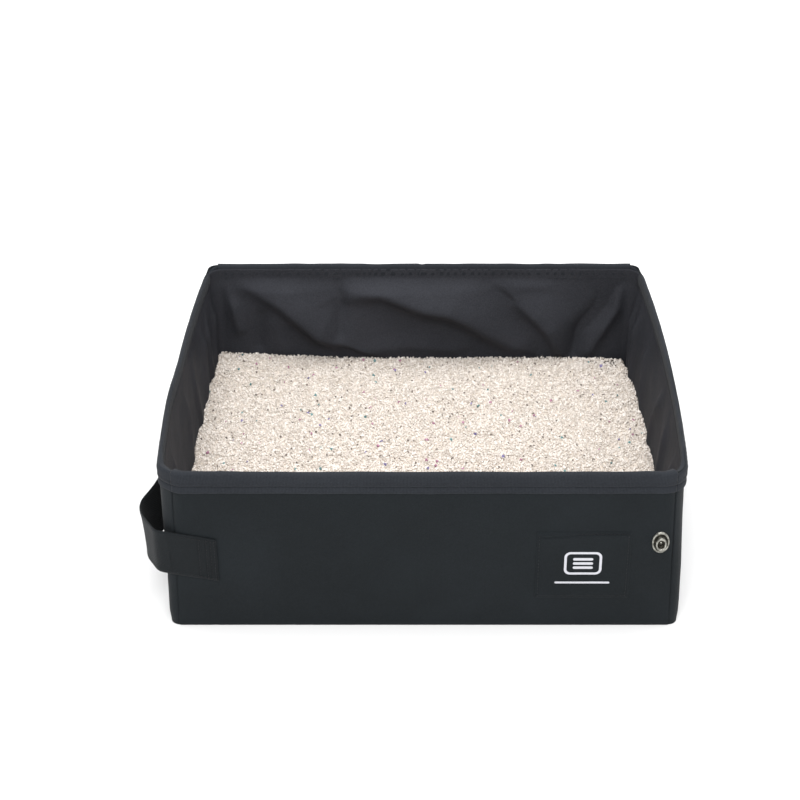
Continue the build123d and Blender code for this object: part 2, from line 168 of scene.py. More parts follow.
def waves(x, y, *layers):
    """Smooth noise in layers of (height, scale, seed)."""
    return sum(height * wave(x, y, scale, seed) for height, scale, seed in layers)


def smoothstep(a, b, x):
    t = np.clip((np.asarray(x, float) - a) / (b - a), 0, 1)
    return t * t * (3 - 2 * t)


def bell(x, width):
    return np.exp(-(np.asarray(x, float) / width) ** 2)


def grid_of(a, b):
    """Two coordinate grids from the stations along (a) and across (b)."""
    return np.repeat(a[:, None], len(b), axis=1), np.repeat(b[None, :], len(a), axis=0)


def run_of(points):
    steps = np.linalg.norm(np.diff(points, axis=0), axis=1)
    return np.concatenate([[0], np.cumsum(steps)])


def right_normals(line):
    """Unit normals of a plan line, to the right of its run."""
    tangent = np.gradient(line, axis=0)
    tangent /= np.linalg.norm(tangent, axis=1, keepdims=True)
    return np.stack([tangent[:, 1], -tangent[:, 0]], axis=1)


def evenly(points, count):
    """The same line (any number of columns), with evenly spaced stations, and its run."""
    run = run_of(points[:, :2])
    want = np.linspace(0, run[-1], count)
    return np.stack([np.interp(want, run, column) for column in points.T], axis=1), want


# Plan of the walls

def corner_radius(z):
    """Front corners in plan: tight at the hem, wide at the rim."""
    return CORNER_R + (RIM_CORNER_R - CORNER_R) * smoothstep(20, TAPE_FOOT, z)


def hem_share(z):
    return np.clip(1 - np.asarray(z, float) / TAPE_FOOT, 0, None)


def side_plan(z, inset=0.0, count=240):
    """Right-hand short wall in plan at a height, from the front seam round to the back seam.

    Returns points (count x 2), outward normals and the run in mm.
    """
    share = float(hem_share(z))
    bow = RIM_BOW + share * (HEM_BOW - RIM_BOW)
    front_r = float(corner_radius(z))
    turn = 2 * math.atan(2 * bow / (2 * HALF_DEPTH - front_r - CORNER_R))
    chord = 2 * HALF_DEPTH - (front_r + CORNER_R) * (1 - math.sin(turn))
    radius = chord / (2 * math.sin(turn))
    way = np.array((math.cos(turn), math.sin(turn)))
    seam_x = FRONT_HALF + HEM_SPREAD * share
    front = np.array((seam_x + CORNER_R - front_r, -HALF_DEPTH + front_r))
    middle = front + (front_r - radius) * way * (1, -1)
    rear = middle + (radius - CORNER_R) * way
    start = -math.acos((seam_x - front[0]) / front_r)
    pieces = []
    for centre, r, a, b, k in ((front, front_r, start, -turn, 60), (middle, radius, -turn, turn, 400),
                               (rear, CORNER_R, turn, math.pi / 2, 60)):
        angle = np.linspace(a, b, k)
        n = np.stack([np.cos(angle), np.sin(angle)], axis=1)
        pieces.append(np.concatenate([centre + n * (r - inset), n], axis=1))
    line, run = evenly(np.concatenate(pieces), count)
    return line[:, :2], line[:, 2:], run


def left_plan(z, inset=0.0, count=240):
    """The left-hand wall, from the back seam to the front seam, with the swell behind its strap."""
    pts, nrm, run = side_plan(z, inset, count)
    out = LEFT_BULGE * smoothstep(45, TAPE_FOOT, z) * smoothstep(0, 16, run) * smoothstep(5, -75, pts[:, 1])
    pts = pts + np.stack([out, 0 * out], axis=1)
    return pts[::-1] * (-1, 1), nrm[::-1] * (-1, 1), run


def front_bend(x, z):
    """How far a long front edge has curved back towards the corner at x."""
    r = corner_radius(z)
    past = np.clip(np.abs(x) - (FRONT_HALF + HEM_SPREAD * hem_share(z) + CORNER_R - r), 0, r * 0.98)
    return r - np.sqrt(r * r - past * past)


# Shader groups

def feed(tree, target, inputs):
    """Gives a node its inputs: sockets are linked, other values set."""
    for key, value in inputs.items():
        if isinstance(value, bpy.types.NodeSocket):
            tree.links.new(value, target.inputs[key])
        else:
            target.inputs[key].default_value = value


def node(tree, kind, inputs, **settings):
    """Adds a node to a tree, with its settings and inputs."""
    made = tree.nodes.new(kind)
    for key, value in settings.items():
        setattr(made, key, value)
    feed(tree, made, inputs)
    return made


def group(name, inputs, outputs, kind="ShaderNodeTree"):
    """Node group from the label, type and value of each input and the label and type of each output."""
    g = bpy.data.node_groups.new(name, kind)
    for label, socket, value in inputs:
        sock = g.interface.new_socket(label, in_out="INPUT", socket_type="NodeSocket" + socket)
        if value is not None:
            sock.default_value = value
    for label, socket in outputs:
        g.interface.new_socket(label, in_out="OUTPUT", socket_type="NodeSocket" + socket)
    return g, g.nodes.new("NodeGroupInput"), g.nodes.new("NodeGroupOutput")


def math_node(tree, op, *values):
    return node(tree, "ShaderNodeMath", dict(enumerate(values)), operation=op).outputs[0]


def map_node(tree, value, low, high, to_low=0.0, to_high=1.0):
    inputs = {"From Min": low, "From Max": high, "To Min": to_low, "To Max": to_high, "Value": value}
    return node(tree, "ShaderNodeMapRange", inputs).outputs["Result"]


def noise_node(tree, coord, scale, detail, seed=None):
    """Noise at a coordinate; a seed makes it four-dimensional."""
    inputs = {"Scale": scale, "Detail": detail, "Vector": coord}
    if seed is not None:
        inputs["W"] = seed
    size = "3D" if seed is None else "4D"
    return node(tree, "ShaderNodeTexNoise", inputs, noise_dimensions=size).outputs["Fac"]


def bump_node(tree, height, strength, distance, under=None):
    inputs = {"Strength": strength, "Distance": distance, "Height": height}
    if under is not None:
        inputs["Normal"] = under
    return node(tree, "ShaderNodeBump", inputs).outputs["Normal"]


def weave_group():
    """Plain weave: a height from uv in metres, with slubs along the yarns."""
    inputs = [("UV", "Vector", None), ("Pitch", "Float", 0.0009), ("Slub", "Float", 0.3)]
    g, gi, go = group("Weave", inputs, [("Height", "Float")])
    sep = node(g, "ShaderNodeSeparateXYZ", {0: gi.outputs["UV"]})
    rate = math_node(g, "DIVIDE", math.pi, gi.outputs["Pitch"])
    su = math_node(g, "SINE", math_node(g, "MULTIPLY", sep.outputs[0], rate))
    sv = math_node(g, "SINE", math_node(g, "MULTIPLY", sep.outputs[1], rate))
    sign = math_node(g, "MULTIPLY_ADD", math_node(g, "SIGN", math_node(g, "MULTIPLY", su, sv)), 0.5, 0.5)
    over = math_node(g, "MULTIPLY", sign, math_node(g, "ABSOLUTE", su))
    under = math_node(g, "MULTIPLY", math_node(g, "SUBTRACT", 1.0, sign), math_node(g, "ABSOLUTE", sv))
    uneven = math_node(g, "MULTIPLY", noise_node(g, gi.outputs["UV"], 260, 3), gi.outputs["Slub"])
    g.links.new(math_node(g, "ADD", math_node(g, "ADD", over, under), uneven), go.inputs["Height"])
    return g


def rib_group():
    """Cross ribs of a binding tape, with a finer yarn along it."""
    inputs = [("UV", "Vector", None), ("Rib", "Float", 0.0011), ("Yarn", "Float", 0.0006)]
    g, gi, go = group("Ribs", inputs, [("Height", "Float")])
    sep = node(g, "ShaderNodeSeparateXYZ", {0: gi.outputs["UV"]})
    u = math_node(g, "MULTIPLY", sep.outputs[0], math_node(g, "DIVIDE", math.pi, gi.outputs["Rib"]))
    v = math_node(g, "MULTIPLY", sep.outputs[1], math_node(g, "DIVIDE", math.pi, gi.outputs["Yarn"]))
    ribs = math_node(g, "ABSOLUTE", math_node(g, "SINE", u))
    yarn = math_node(g, "MULTIPLY", math_node(g, "ABSOLUTE", math_node(g, "SINE", v)), 0.35)
    g.links.new(math_node(g, "ADD", ribs, yarn), go.inputs["Height"])
    return g


def tone_group():
    """Cloth colour: broad and fine mottling, dust in patches, and painted shade in the yarn gaps."""
    inputs = [
        ("Coord", "Vector", None), ("Base", "Color", (0.02, 0.02, 0.02, 1)),
        ("Light", "Color", (0.06, 0.06, 0.06, 1)), ("Height", "Float", 1.0),
        ("Dust", "Float", 0.2), ("Seed", "Float", 0.0),
    ]
    g, gi, go = group("Cloth tone", inputs, [("Color", "Color"), ("Rough", "Float")])
    broad = noise_node(g, gi.outputs["Coord"], 14, 4, gi.outputs["Seed"])
    fine = noise_node(g, gi.outputs["Coord"], 900, 2, gi.outputs["Seed"])
    dust = math_node(g, "MULTIPLY", map_node(g, broad, 0.38, 0.72), gi.outputs["Dust"])
    speck = math_node(g, "MULTIPLY", fine, 0.55)
    # Painted shade: the weave's low places between the yarns are darker in colour
    yarn = math_node(g, "MULTIPLY", gi.outputs["Height"], 0.30)
    factor = math_node(g, "ADD", math_node(g, "ADD", dust, speck), yarn)
    factor = math_node(g, "SUBTRACT", factor, 0.22)
    mix = node(g, "ShaderNodeMix", {
        "Factor": factor, "A": gi.outputs["Base"], "B": gi.outputs["Light"],
    }, data_type="RGBA", clamp_factor=True)
    feed(g, go, {"Color": mix.outputs["Result"], "Rough": factor})
    return g


WEAVE = weave_group()
RIBS = rib_group()
TONE = tone_group()


# Materials

YARN_RELIEF = 0.00018
CREASE_RELIEF = 0.003


def srgb(text):
    """Linear colour, with its alpha, from six hex digits."""
    values = [int(text[k:k + 2], 16) / 255 for k in (0, 2, 4)]
    return tuple(((c + 0.055) / 1.055) ** 2.4 if c > 0.04045 else c / 12.92 for c in values) + (1.0,)


def new_material(name):
    """Material with only a Principled shader; returns it, its tree, the shader and the coordinates."""
    mat = bpy.data.materials.new(name)
    mat.use_nodes = True
    tree = mat.node_tree
    tree.nodes.clear()
    shader = tree.nodes.new("ShaderNodeBsdfPrincipled")
    node(tree, "ShaderNodeOutputMaterial", {"Surface": shader.outputs[0]})
    return mat, tree, shader, tree.nodes.new("ShaderNodeTexCoord").outputs


def cloth_material(name, base, light, pitch, roughness, sheen, bump, coord="UV", dust=0.2, seed=0.0,
                   ribs=False, wrinkle=0.0, wrinkle_scale=60.0, specular=0.15):
    """Woven or ribbed cloth between two colours, with a yarn pitch in metres and soft creases."""
    mat, tree, shader, coords = new_material(name)
    pattern = node(tree, "ShaderNodeGroup", {
        "Rib" if ribs else "Pitch": pitch, "UV": coords[coord],
    }, node_tree=RIBS if ribs else WEAVE)
    height = pattern.outputs["Height"]
    tone = node(tree, "ShaderNodeGroup", {
        "Base": srgb(base), "Light": srgb(light), "Dust": dust, "Seed": seed,
        "Coord": coords["Object"], "Height": height,
    }, node_tree=TONE)
    folds = None
    if wrinkle > 0:
        creases = noise_node(tree, coords["Object"], wrinkle_scale, 5)
        folds = bump_node(tree, creases, wrinkle, CREASE_RELIEF)
    feed(tree, shader, {
        "Base Color": tone.outputs["Color"],
        "Roughness": map_node(tree, tone.outputs["Rough"], 0, 1, roughness - 0.06, roughness + 0.10),
        "Specular IOR Level": specular, "Sheen Weight": sheen, "Sheen Roughness": 0.45,
        "Normal": bump_node(tree, height, bump, YARN_RELIEF, folds),
    })
    return mat


def grain_noise_material(name, base, light, roughness, scale, metallic=0.0):
    """Worn metal or plain sheet, mottled between two colours."""
    mat, tree, shader, coords = new_material(name)
    grain = noise_node(tree, coords["Object"], scale, 6)
    ramp = node(tree, "ShaderNodeValToRGB", {"Fac": grain})
    for end, position, colour in zip(ramp.color_ramp.elements, (0.35, 0.68), (base, light)):
        end.position = position
        end.color = srgb(colour)
    feed(tree, shader, {
        "Base Color": ramp.outputs["Color"], "Metallic": metallic,
        "Roughness": map_node(tree, grain, 0, 1, max(roughness - 0.1, 0.02), roughness + 0.12),
        "Normal": bump_node(tree, grain, 0.2, 0.0003),
    })
    return mat


def granule_material(name, base, light):
    """Mineral granules: each cell of about one granule has a tone of its own."""
    mat, tree, shader, coords = new_material(name)
    cells = node(tree, "ShaderNodeTexVoronoi", {"Scale": 420, "Vector": coords["Object"]})
    tint = node(tree, "ShaderNodeSeparateColor", {0: cells.outputs["Color"]})
    dirt = noise_node(tree, coords["Object"], 2400, 3)
    both = math_node(tree, "MULTIPLY_ADD", dirt, 0.5, tint.outputs[0])
    mix = node(tree, "ShaderNodeMix", {
        "Factor": math_node(tree, "MULTIPLY", both, 0.75), "A": srgb(base), "B": srgb(light),
    }, data_type="RGBA")
    feed(tree, shader, {
        "Base Color": mix.outputs["Result"], "Roughness": 0.85, "Specular IOR Level": 0.2,
        "Normal": bump_node(tree, dirt, 0.4, 0.0002),
    })
    return mat


FABRIC = cloth_material("outer_cloth", "0c1012", "22272b", pitch=0.0010, roughness=0.72, sheen=0.04,
                        bump=0.55, dust=0.25, seed=1.0, wrinkle=0.10, wrinkle_scale=30, specular=0.12)
PATCH = cloth_material("patch_cloth", "0c1012", "21262a", pitch=0.0010, roughness=0.72, sheen=0.04,
                       bump=0.55, dust=0.25, seed=1.0, specular=0.12)
WEBBING = cloth_material("strap_cloth", "0b0e10", "202427", pitch=0.0013, roughness=0.70, sheen=0.04,
                         bump=0.8, seed=4.0, specular=0.12)
TAPE = cloth_material("tape_cloth", "1d1f23", "3b3e43", pitch=0.0011, roughness=0.72, sheen=0.05, bump=0.8,
                      dust=0.15, seed=2.0, ribs=True, specular=0.03)
LINER = cloth_material("liner_cloth", "212225", "47484e", pitch=0.0007, roughness=0.50, sheen=0.0, bump=0.2,
                       dust=0.15, seed=3.0, wrinkle=0.06, wrinkle_scale=24, specular=0.012)
THREAD = cloth_material("sewing_thread", "131416", "2a2b2e", pitch=0.0004, roughness=0.6, sheen=0.05,
                        bump=0.5, coord="Object", seed=6.0)
PRINT = cloth_material("print_white", "b4b4bb", "dcdce2", pitch=0.0006, roughness=0.6, sheen=0.0, bump=0.45,
                       seed=7.0)
# Worn nickel, its colours also darker than bare nickel to stand for the dark surroundings it reflects: wear
# and painted reflection
NICKEL = grain_noise_material("worn_nickel_painted_reflection", "6f6e68", "b9b8b0", roughness=0.30, scale=420, metallic=1.0)
# Darker nickel for the snap's recesses: painted shade
NICKEL_PAINTED_SHADE = grain_noise_material("nickel_painted_shade", "15140f", "3d3a33", roughness=0.45, scale=420,
                                   metallic=0.8)
BOARD = grain_noise_material("board_sheet", "4a4b4e", "5d5e61", roughness=0.6, scale=300)
LITTER = granule_material("granule_cream", "c3bab1", "ece5de")
# The bed under the granules is darker than the granules: painted shade in the gaps between them
LITTER_GAP_SHADE = granule_material("granule_painted_gap_shade", "b4a99e", "d9d0c6")
LITTER_DARK = granule_material("granule_grey", "5d554f", "8c837b")
LITTER_TEAL = granule_material("granule_teal", "4d6e70", "7fa3a2")
LITTER_PINK = granule_material("granule_rose", "93637c", "c096a8")
LITTER_VIOLET = granule_material("granule_violet", "635a86", "968fb4")


def settle(obj, body, slot, *nodes):
    """Rides on its body and stands for the CAD nodes that it replaces; slot is not used."""
    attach(obj, body)
    if nodes:
        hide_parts(*nodes)
    return obj


def crumple(obj):
    """Gives a soft piece a mesh of its own."""
    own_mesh(obj)


# Board pockets

def pocket(name, half, run, swell, place, half_at, step=2.0):
    """Flat pocket with rounded edges, in its own frame: x along, y through, z up the run.

    swell gives the outer face's rise at a place, half_at the true half length at a height.
    """
    r = POCKET / 2
    foot_r = 0.3
    ends = np.array([0, 0.5, 1.4])
    xs = np.concatenate([ends - half, np.arange(-half + 3, half - 2.9, step), half - ends[::-1]])
    into = (np.abs(xs) - (half - r)).clip(0) / r
    round_share = np.sqrt(np.clip(1 - into ** 2, 0.02, 1))
    zs = np.linspace(foot_r, run - r, int(run / step))
    turn = np.radians([30, 60, 90, 120, 150])
    outer = [(0.0, z) for z in zs]
    top = [(r - r * math.cos(a), run - r + r * math.sin(a)) for a in turn]
    inner = [(POCKET, z) for z in zs[::-1]]
    bottom = [(r + r * math.cos(a), foot_r - foot_r * math.sin(a)) for a in turn]
    profile = np.array(outer + top + inner + bottom)
    is_outer = np.arange(len(profile)) < len(outer)
    z = profile[:, 1]
    least = 0.66 + 0.2 * smoothstep(60, 40, z)
    loops = np.empty((len(xs), len(profile), 3))
    for i, x in enumerate(xs):
        loops[i, :, 0] = x * half_at(z) / half
        thick = (profile[:, 0] - r) * np.maximum(round_share[i], least)
        loops[i, :, 1] = r + thick - np.where(is_outer, swell(x, z), 0)
        loops[i, :, 2] = z
    around = run_of(profile)
    obj = loft(name, place(loops), xs, np.append(around, around[-1] + 1.0), FABRIC)
    return obj


def long_wall_swell(seed):
    """Outer face of a long wall: slack cloth, puckers under the tape, a pinched fold line at mid length."""
    def swell(x, z):
        x = np.full_like(z, x)
        near = np.minimum(FRONT_HALF - np.abs(x), np.minimum(z, FABRIC_TOP - z))
        fade = np.clip(near / 6, 0, 1)
        soft = waves(x, z, (0.25, 70, seed), (0.08, 21, seed + 4))
        line_x = x + 3 + 0.6 * wave(z, scale=30, seed=seed + 8)
        crease = -0.45 * bell(line_x, 1.6) * (0.35 + 0.65 * smoothstep(95, 45, z))
        pinch = crease + 0.12 * bell(np.abs(line_x) - 6, 4)
        pucker = 0.10 * np.sin(x / 1.9 + 2.2 * wave(x, scale=22, seed=seed))
        pucker = pucker * smoothstep(TAPE_FOOT - 12, TAPE_FOOT, z)
        edge = np.clip((FRONT_HALF - np.abs(x)) / 5, 0, 1)
        return (soft + pinch) * fade + pucker * edge
    return swell


def no_swell(x, z):
    return 0.0 * z


def stand_front(loops):
    loops[..., 1] += front_bend(loops[..., 0], loops[..., 2]) - HALF_DEPTH
    return loops


def stand_back(loops):
    loops[..., 1] = HALF_DEPTH - loops[..., 1]
    return loops


def lay_back(loops):
    out = loops.copy()
    out[..., 1] = WALL_INNER - FLOOR_GAP - loops[..., 2]
    out[..., 2] = loops[..., 1]
    return out


def lay_front(loops):
    return lay_back(loops) * (1, -1, 1)


def wall_half(z):
    return FRONT_HALF - 0.04 + HEM_SPREAD * hem_share(z)


def floor_half(z):
    into = (FLOOR_CORNER - z).clip(0)
    return FLOOR_HALF - FLOOR_CORNER + np.sqrt(FLOOR_CORNER ** 2 - into ** 2)


for side, stand, seed in (("front", stand_front, 2.3), ("back", stand_back, 5.1)):
    wall = pocket(f"{side}_wall_cloth", FRONT_HALF, FABRIC_TOP, long_wall_swell(seed), stand, wall_half)
    settle(wall, f"{side}_wall", "outer_fabric", f"{side}_wall_fabric")
for side, lay in (("back", lay_back), ("front", lay_front)):
    floor = pocket(f"floor_{side}_cloth", FLOOR_HALF, FLOOR_RUN, no_swell, lay, floor_half, step=3.0)
    settle(floor, f"floor_{side}", "outer_fabric", f"floor_{side}_fabric")


# Soft short walls

def short_wall(label, plan, seed):
    """Soft fabric from seam to seam: bowed at the rim, straight at the hem, its foot corner rounded."""
    heights = np.concatenate([[0, 0.4, 1.2], np.linspace(3, FABRIC_TOP, 74)])
    count = 240
    rows = np.empty((count, len(heights), 3))
    for j, z in enumerate(heights):
        pts, nrm, run = plan(z, 0.0, count)
        rows[:, j, :2] = pts
        rows[:, j, 2] = z
    run_grid, z_grid = grid_of(run, heights)
    ends = np.clip(np.minimum(run_grid, run[-1] - run_grid) / 14, 0, 1)
    soft = waves(run_grid, z_grid, (0.9, 85, seed), (0.3, 24, seed + 3))
    swell = soft * ends * np.clip(z_grid / 12, 0, 1) - 0.35 * ends
    swell -= 1.2 * bell(z_grid, 7) * bell(HALF_DEPTH + rows[..., 1] - 6, 14)
    rows = rows + normals_of(rows) * swell[..., None]
    obj = cloth(f"{label}_wall_cloth", rows, run, heights, WALL_CLOTH, FABRIC)
    settle(obj, "back_wall", "outer_fabric", f"{label}_wall_fabric")
    crumple(obj)


short_wall("right", side_plan, 21)
short_wall("left", left_plan, 31)


# Rim tape

TAPE_THICK = 0.7
TAPE_THROUGH = POCKET + 0.5
SIDE_TAPE_THROUGH = 1.8


def tape(name, path, nrm, run, inner, seed, pucker, gather=0.0, dip=0.0, foot_in=TAPE_FOOT - 0.5):
    """Binding folded over an edge, a second row showing below its outer face.

    path runs along the outer face and nrm points outward; inner is the distance through to the
    liner. Per station, pucker wrinkles the tape aslant, gather draws its inner face in and dip
    lowers it.
    """
    t = TAPE_THICK
    pucker, gather, dip = (np.broadcast_to(value, run.shape) for value in (pucker, gather, dip))
    lift = waves(run, 0.0, (1.0, 62, seed), (0.5, 17, seed + 2)) - dip
    puff = 0.30 * wave(run, scale=14, seed=seed + 5)
    hem = 0.8 * wave(run, scale=34, seed=seed + 7)
    hem = hem + 0.25 * np.sin(run / 1.9 + 2 * wave(run, scale=21, seed=seed))
    hem_in = 0.8 * wave(run, scale=27, seed=seed + 9)
    loops = []
    for i in range(len(run)):
        top = WALL_HEIGHT - 0.4 + lift[i]
        low = TAPE_FOOT + hem[i] * 0.5
        low_in = foot_in + hem_in[i] * 0.6
        foot = TAPE_FOOT - SECOND_ROW + hem_in[i] * 0.5 + hem[i] * 0.3
        back = -inner - gather[i]
        sway = pucker[i] * (0.25 + abs(puff[i]) * 4)

        def crinkle(z):
            return sway * math.sin((run[i] + 1.3 * z) / 1.15 + 5 * lift[i] + 7 * puff[i])

        second_row = [
            (0.05, foot), (t + 0.25, foot + 0.2), (t + 0.45 + puff[i] * 0.4, foot + 1.6),
            (t + 0.15 + puff[i] * 0.4, foot + 3.6), (t - 0.15, low - 0.9), (0.15, low - 0.5),
        ]
        outer = [
            (0.05, low), (t + 0.1, low + 0.25), (t + 0.5 + puff[i] * 0.3, low + 2.0),
            (t + 0.2 + puff[i] * 0.3 + crinkle(2), low + 3.3),
            (t + 0.45 + puff[i] + crinkle(5), TAPE_FOOT + 5.5), (t + 0.45 + puff[i] + crinkle(8), top - 3.0),
        ]
        over = [(t + 0.1, top - 1.1), (-0.5, top - 0.1), (-inner / 2, top + 0.15), (-inner + 0.5, top)]
        inside = [
            (back - t + 0.1, top - 1.0), (back - t - 0.35 - crinkle(9), top - 2.8),
            (back - t - 0.4 - crinkle(6), low_in + 6.3), (back - t - 0.15 - crinkle(3), low_in + 3.2),
            (back - t - 0.5 - crinkle(1) / 2, low_in + 1.9), (back - t - 0.1, low_in + 0.2),
            (back - 0.05, low_in),
        ]
        lining = [(-inner + 0.1, low_in + 3.0), (-inner + 0.15, top - 1.6),
                  (-0.15, top - 1.6), (-0.05, low + 3.0)]
        section = second_row + outer + over + inside + lining
        loops.append([(path[i, 0] + nrm[i, 0] * off, path[i, 1] + nrm[i, 1] * off, z) for off, z in section])
    around = run_of(np.array(section))
    return loft(name, loops, run, np.append(around, around[-1] + 1.5), TAPE)


def straight_path(sign, step=0.8):
    """A long wall's top edge from end to end: sign -1 for the front wall, 1 for the back wall."""
    half = FRONT_HALF - 0.15
    xs = np.linspace(-half, half, int(2 * FRONT_HALF / step)) * -sign
    bend = front_bend(xs, WALL_HEIGHT) if sign < 0 else 0 * xs
    path = np.stack([xs, sign * (HALF_DEPTH - bend)], axis=1)
    nrm = right_normals(path)
    return path, nrm * np.sign(nrm[:, 1:] * sign), run_of(path)


def long_tapes():
    path, nrm, run = straight_path(-1)
    gather = 1.8 * bell(np.minimum(run, run[-1] - run) - 1, 9)
    front = tape("front_rim_tape", path, nrm, run, TAPE_THROUGH, 3.3, pucker=0.12, gather=gather)
    settle(front, "front_wall", "binding_tape", "front_rim_binding")
    path, nrm, run = straight_path(1)
    pucker = 0.06 + 0.26 * bell(path[:, 0] - 5, 125)
    dip = 0.8 * bell(path[:, 0] + 2, 2.5) - 1.7
    back = tape("back_rim_tape", path, nrm, run, TAPE_THROUGH, 7.7, pucker, dip=dip, foot_in=BACK_HEM)
    settle(back, "back_wall", "binding_tape", "back_rim_binding")


def side_tape(label, plan, seed):
    """Binding of a short wall, gathered at the front corner and dipped at the back one."""
    pts, nrm, run = plan(WALL_HEIGHT, 0.0, 460)
    from_front = run if label == "right" else run[-1] - run
    gather = 2.4 * bell(from_front - 12, 13)
    dip = 3.0 * bell(run[-1] - from_front - 13, 11)
    obj = tape(f"{label}_rim_tape", pts, nrm, run, SIDE_TAPE_THROUGH, seed, 0.2, gather, dip, BACK_HEM)
    settle(obj, "back_wall", "binding_tape", f"{label}_rim_binding")
    crumple(obj)


long_tapes()
side_tape("right", side_plan, 41)
side_tape("left", left_plan, 47)


# Hanging liner

LINER_TOP = 145.5
LINER_FOOT = 5.2
LINER_THICK = 0.4
FRONT_LINER_HALF = 193.5
LINING_THICK = 0.45
LINING_FLAT = (404.4, 173.6)
LINING_START = 1.2


def drape(x, z, folds):
    """Inward stand of a hanging cloth from its folds.

    Each fold is a crest line of (x, z, stand) points with the reach of the long face above it and of
    the short face below it; a line that runs from right to left has its sides swapped.
    """
    total = np.zeros(x.shape)
    for crest, above, below in folds:
        crest = np.array(crest, float)
        best = np.full(x.shape, 1e9)
        signed = np.zeros(x.shape)
        height = np.zeros(x.shape)
        for a, b in zip(crest, crest[1:]):
            span = b[:2] - a[:2]
            length = np.hypot(*span)
            t = np.clip(((x - a[0]) * span[0] + (z - a[1]) * span[1]) / length ** 2, 0, 1)
            away = np.hypot(x - a[0] - t * span[0], z - a[1] - t * span[1])
            side = np.where((z - a[1]) * span[0] - (x - a[0]) * span[1] >= 0, 1, -1)
            nearer = away < best
            best = np.where(nearer, away, best)
            signed = np.where(nearer, away * side, signed)
            height = np.where(nearer, a[2] + t * (b[2] - a[2]), height)
        reach = np.where(signed > 0, above, below)
        total += height * np.exp(-np.abs(signed / reach) ** 1.7)
    return total


def softened(values, times):
    """A grid of values, each blended with its four neighbours this many times."""
    for _ in range(times):
        pad = np.pad(values, 1, mode="edge")
        around = pad[:-2, 1:-1] + pad[2:, 1:-1] + pad[1:-1, :-2] + pad[1:-1, 2:]
        values = (around + 2 * pad[1:-1, 1:-1]) / 6
    return values


# Crest lines on the back panel: x along the wall, z up, stand from the hanging surface
BACK_FOLDS = (
    (((-178, 134, 1), (-154, 121, 6), (-137, 112, 9), (-119, 96, 11), (-101, 79, 12), (-86, 72, 8)), 30, 9),
    (((-82, 134, -2), (-79, 110, -4), (-81, 82, -3)), 6, 9),
    (((-80, 117, 2), (-59, 123, 8), (-40, 124, 10), (-21, 117, 11), (1, 109, 12), (24, 105, 12), (40, 97, 11),
      (60, 83, 9), (88, 66, 6)), 17, 10),
    (((8, 128, 2), (40, 122, 3), (62, 110, 3)), 22, 22),
    (((66, 133, 2.5), (92, 131, 3), (118, 129, 1)), 7, 4),
    (((90, 112, 4), (106, 98, 8), (119, 83, 9), (131, 60, 6)), 20, 6),
    (((188, 140, -2), (178, 128, -4), (173, 108, -5), (160, 92, -6), (150, 80, -6), (144, 58, -5)), 7, 9),
    (((189, 130, 1), (184, 105, 4), (172, 83, 4), (160, 60, 3)), 6, 6),
    (((-190, 128, 1), (-183, 108, 4), (-178, 84, 3)), 5, 7),
    (((-157, 98, -2), (-160, 64, -3)), 5, 5),
    (((-142, 88, 2), (-136, 62, 3)), 10, 10),
    (((-60, 60, 3), (-15, 66, 3), (30, 62, 3)), 12, 9),
)

# The same on the short walls, with y along the wall
RIGHT_FOLDS = (
    (((-27, 140, 1), (-8, 110, 4), (12, 82, 4), (22, 50, 2)), 5, 10),
    (((-50, 138, 1), (-58, 100, 3), (-52, 60, 3)), 12, 6),
    (((-120, 138, 1), (-108, 96, 3), (-112, 50, 3)), 6, 14),
    (((70, 136, 1), (84, 100, 4), (80, 56, 3)), 5, 12),
    (((128, 138, 1), (136, 100, 5), (132, 50, 4)), 5, 9),
    (((152, 136, 1), (155, 96, 4), (150, 50, 3)), 7, 5),
)
LEFT_FOLDS = (
    (((150, 138, 1), (156, 104, 5), (152, 50, 3)), 5, 8),
    (((128, 136, 1), (124, 100, 4), (132, 50, 3)), 9, 5),
    (((90, 136, 1), (104, 104, 4), (98, 56, 3)), 5, 12),
    (((48, 138, 1), (40, 96, 3), (52, 50, 3)), 12, 6),
    (((-20, 136, 1), (-4, 92, 3), (-10, 50, 2)), 6, 16),
    (((-110, 138, 1), (-98, 90, 3), (-104, 50, 2)), 7, 14),
)


def liner_path(count):
    """Plan of the liner's fixed line: left wall, back wall and right wall as one run."""
    inset = 2.4
    bend_r = 13.0
    right, _, _ = side_plan(WALL_HEIGHT, inset, 500)
    left, _, _ = left_plan(WALL_HEIGHT, inset, 500)
    back_y = WALL_INNER - 0.8
    right = right[right[:, 1] < back_y - bend_r]
    left = left[left[:, 1] < back_y - bend_r]
    angle = np.linspace(0, math.pi / 2, 18)[1:]
    turn = np.stack([bend_r * (1 - np.cos(angle)), bend_r * np.sin(angle)], axis=1)
    right_turn = right[-1] + turn * (-1, 1)
    left_turn = (left[0] + turn)[::-1]
    line, run = evenly(np.concatenate([right, right_turn, left_turn, left]), count)
    return line, -right_normals(line), run


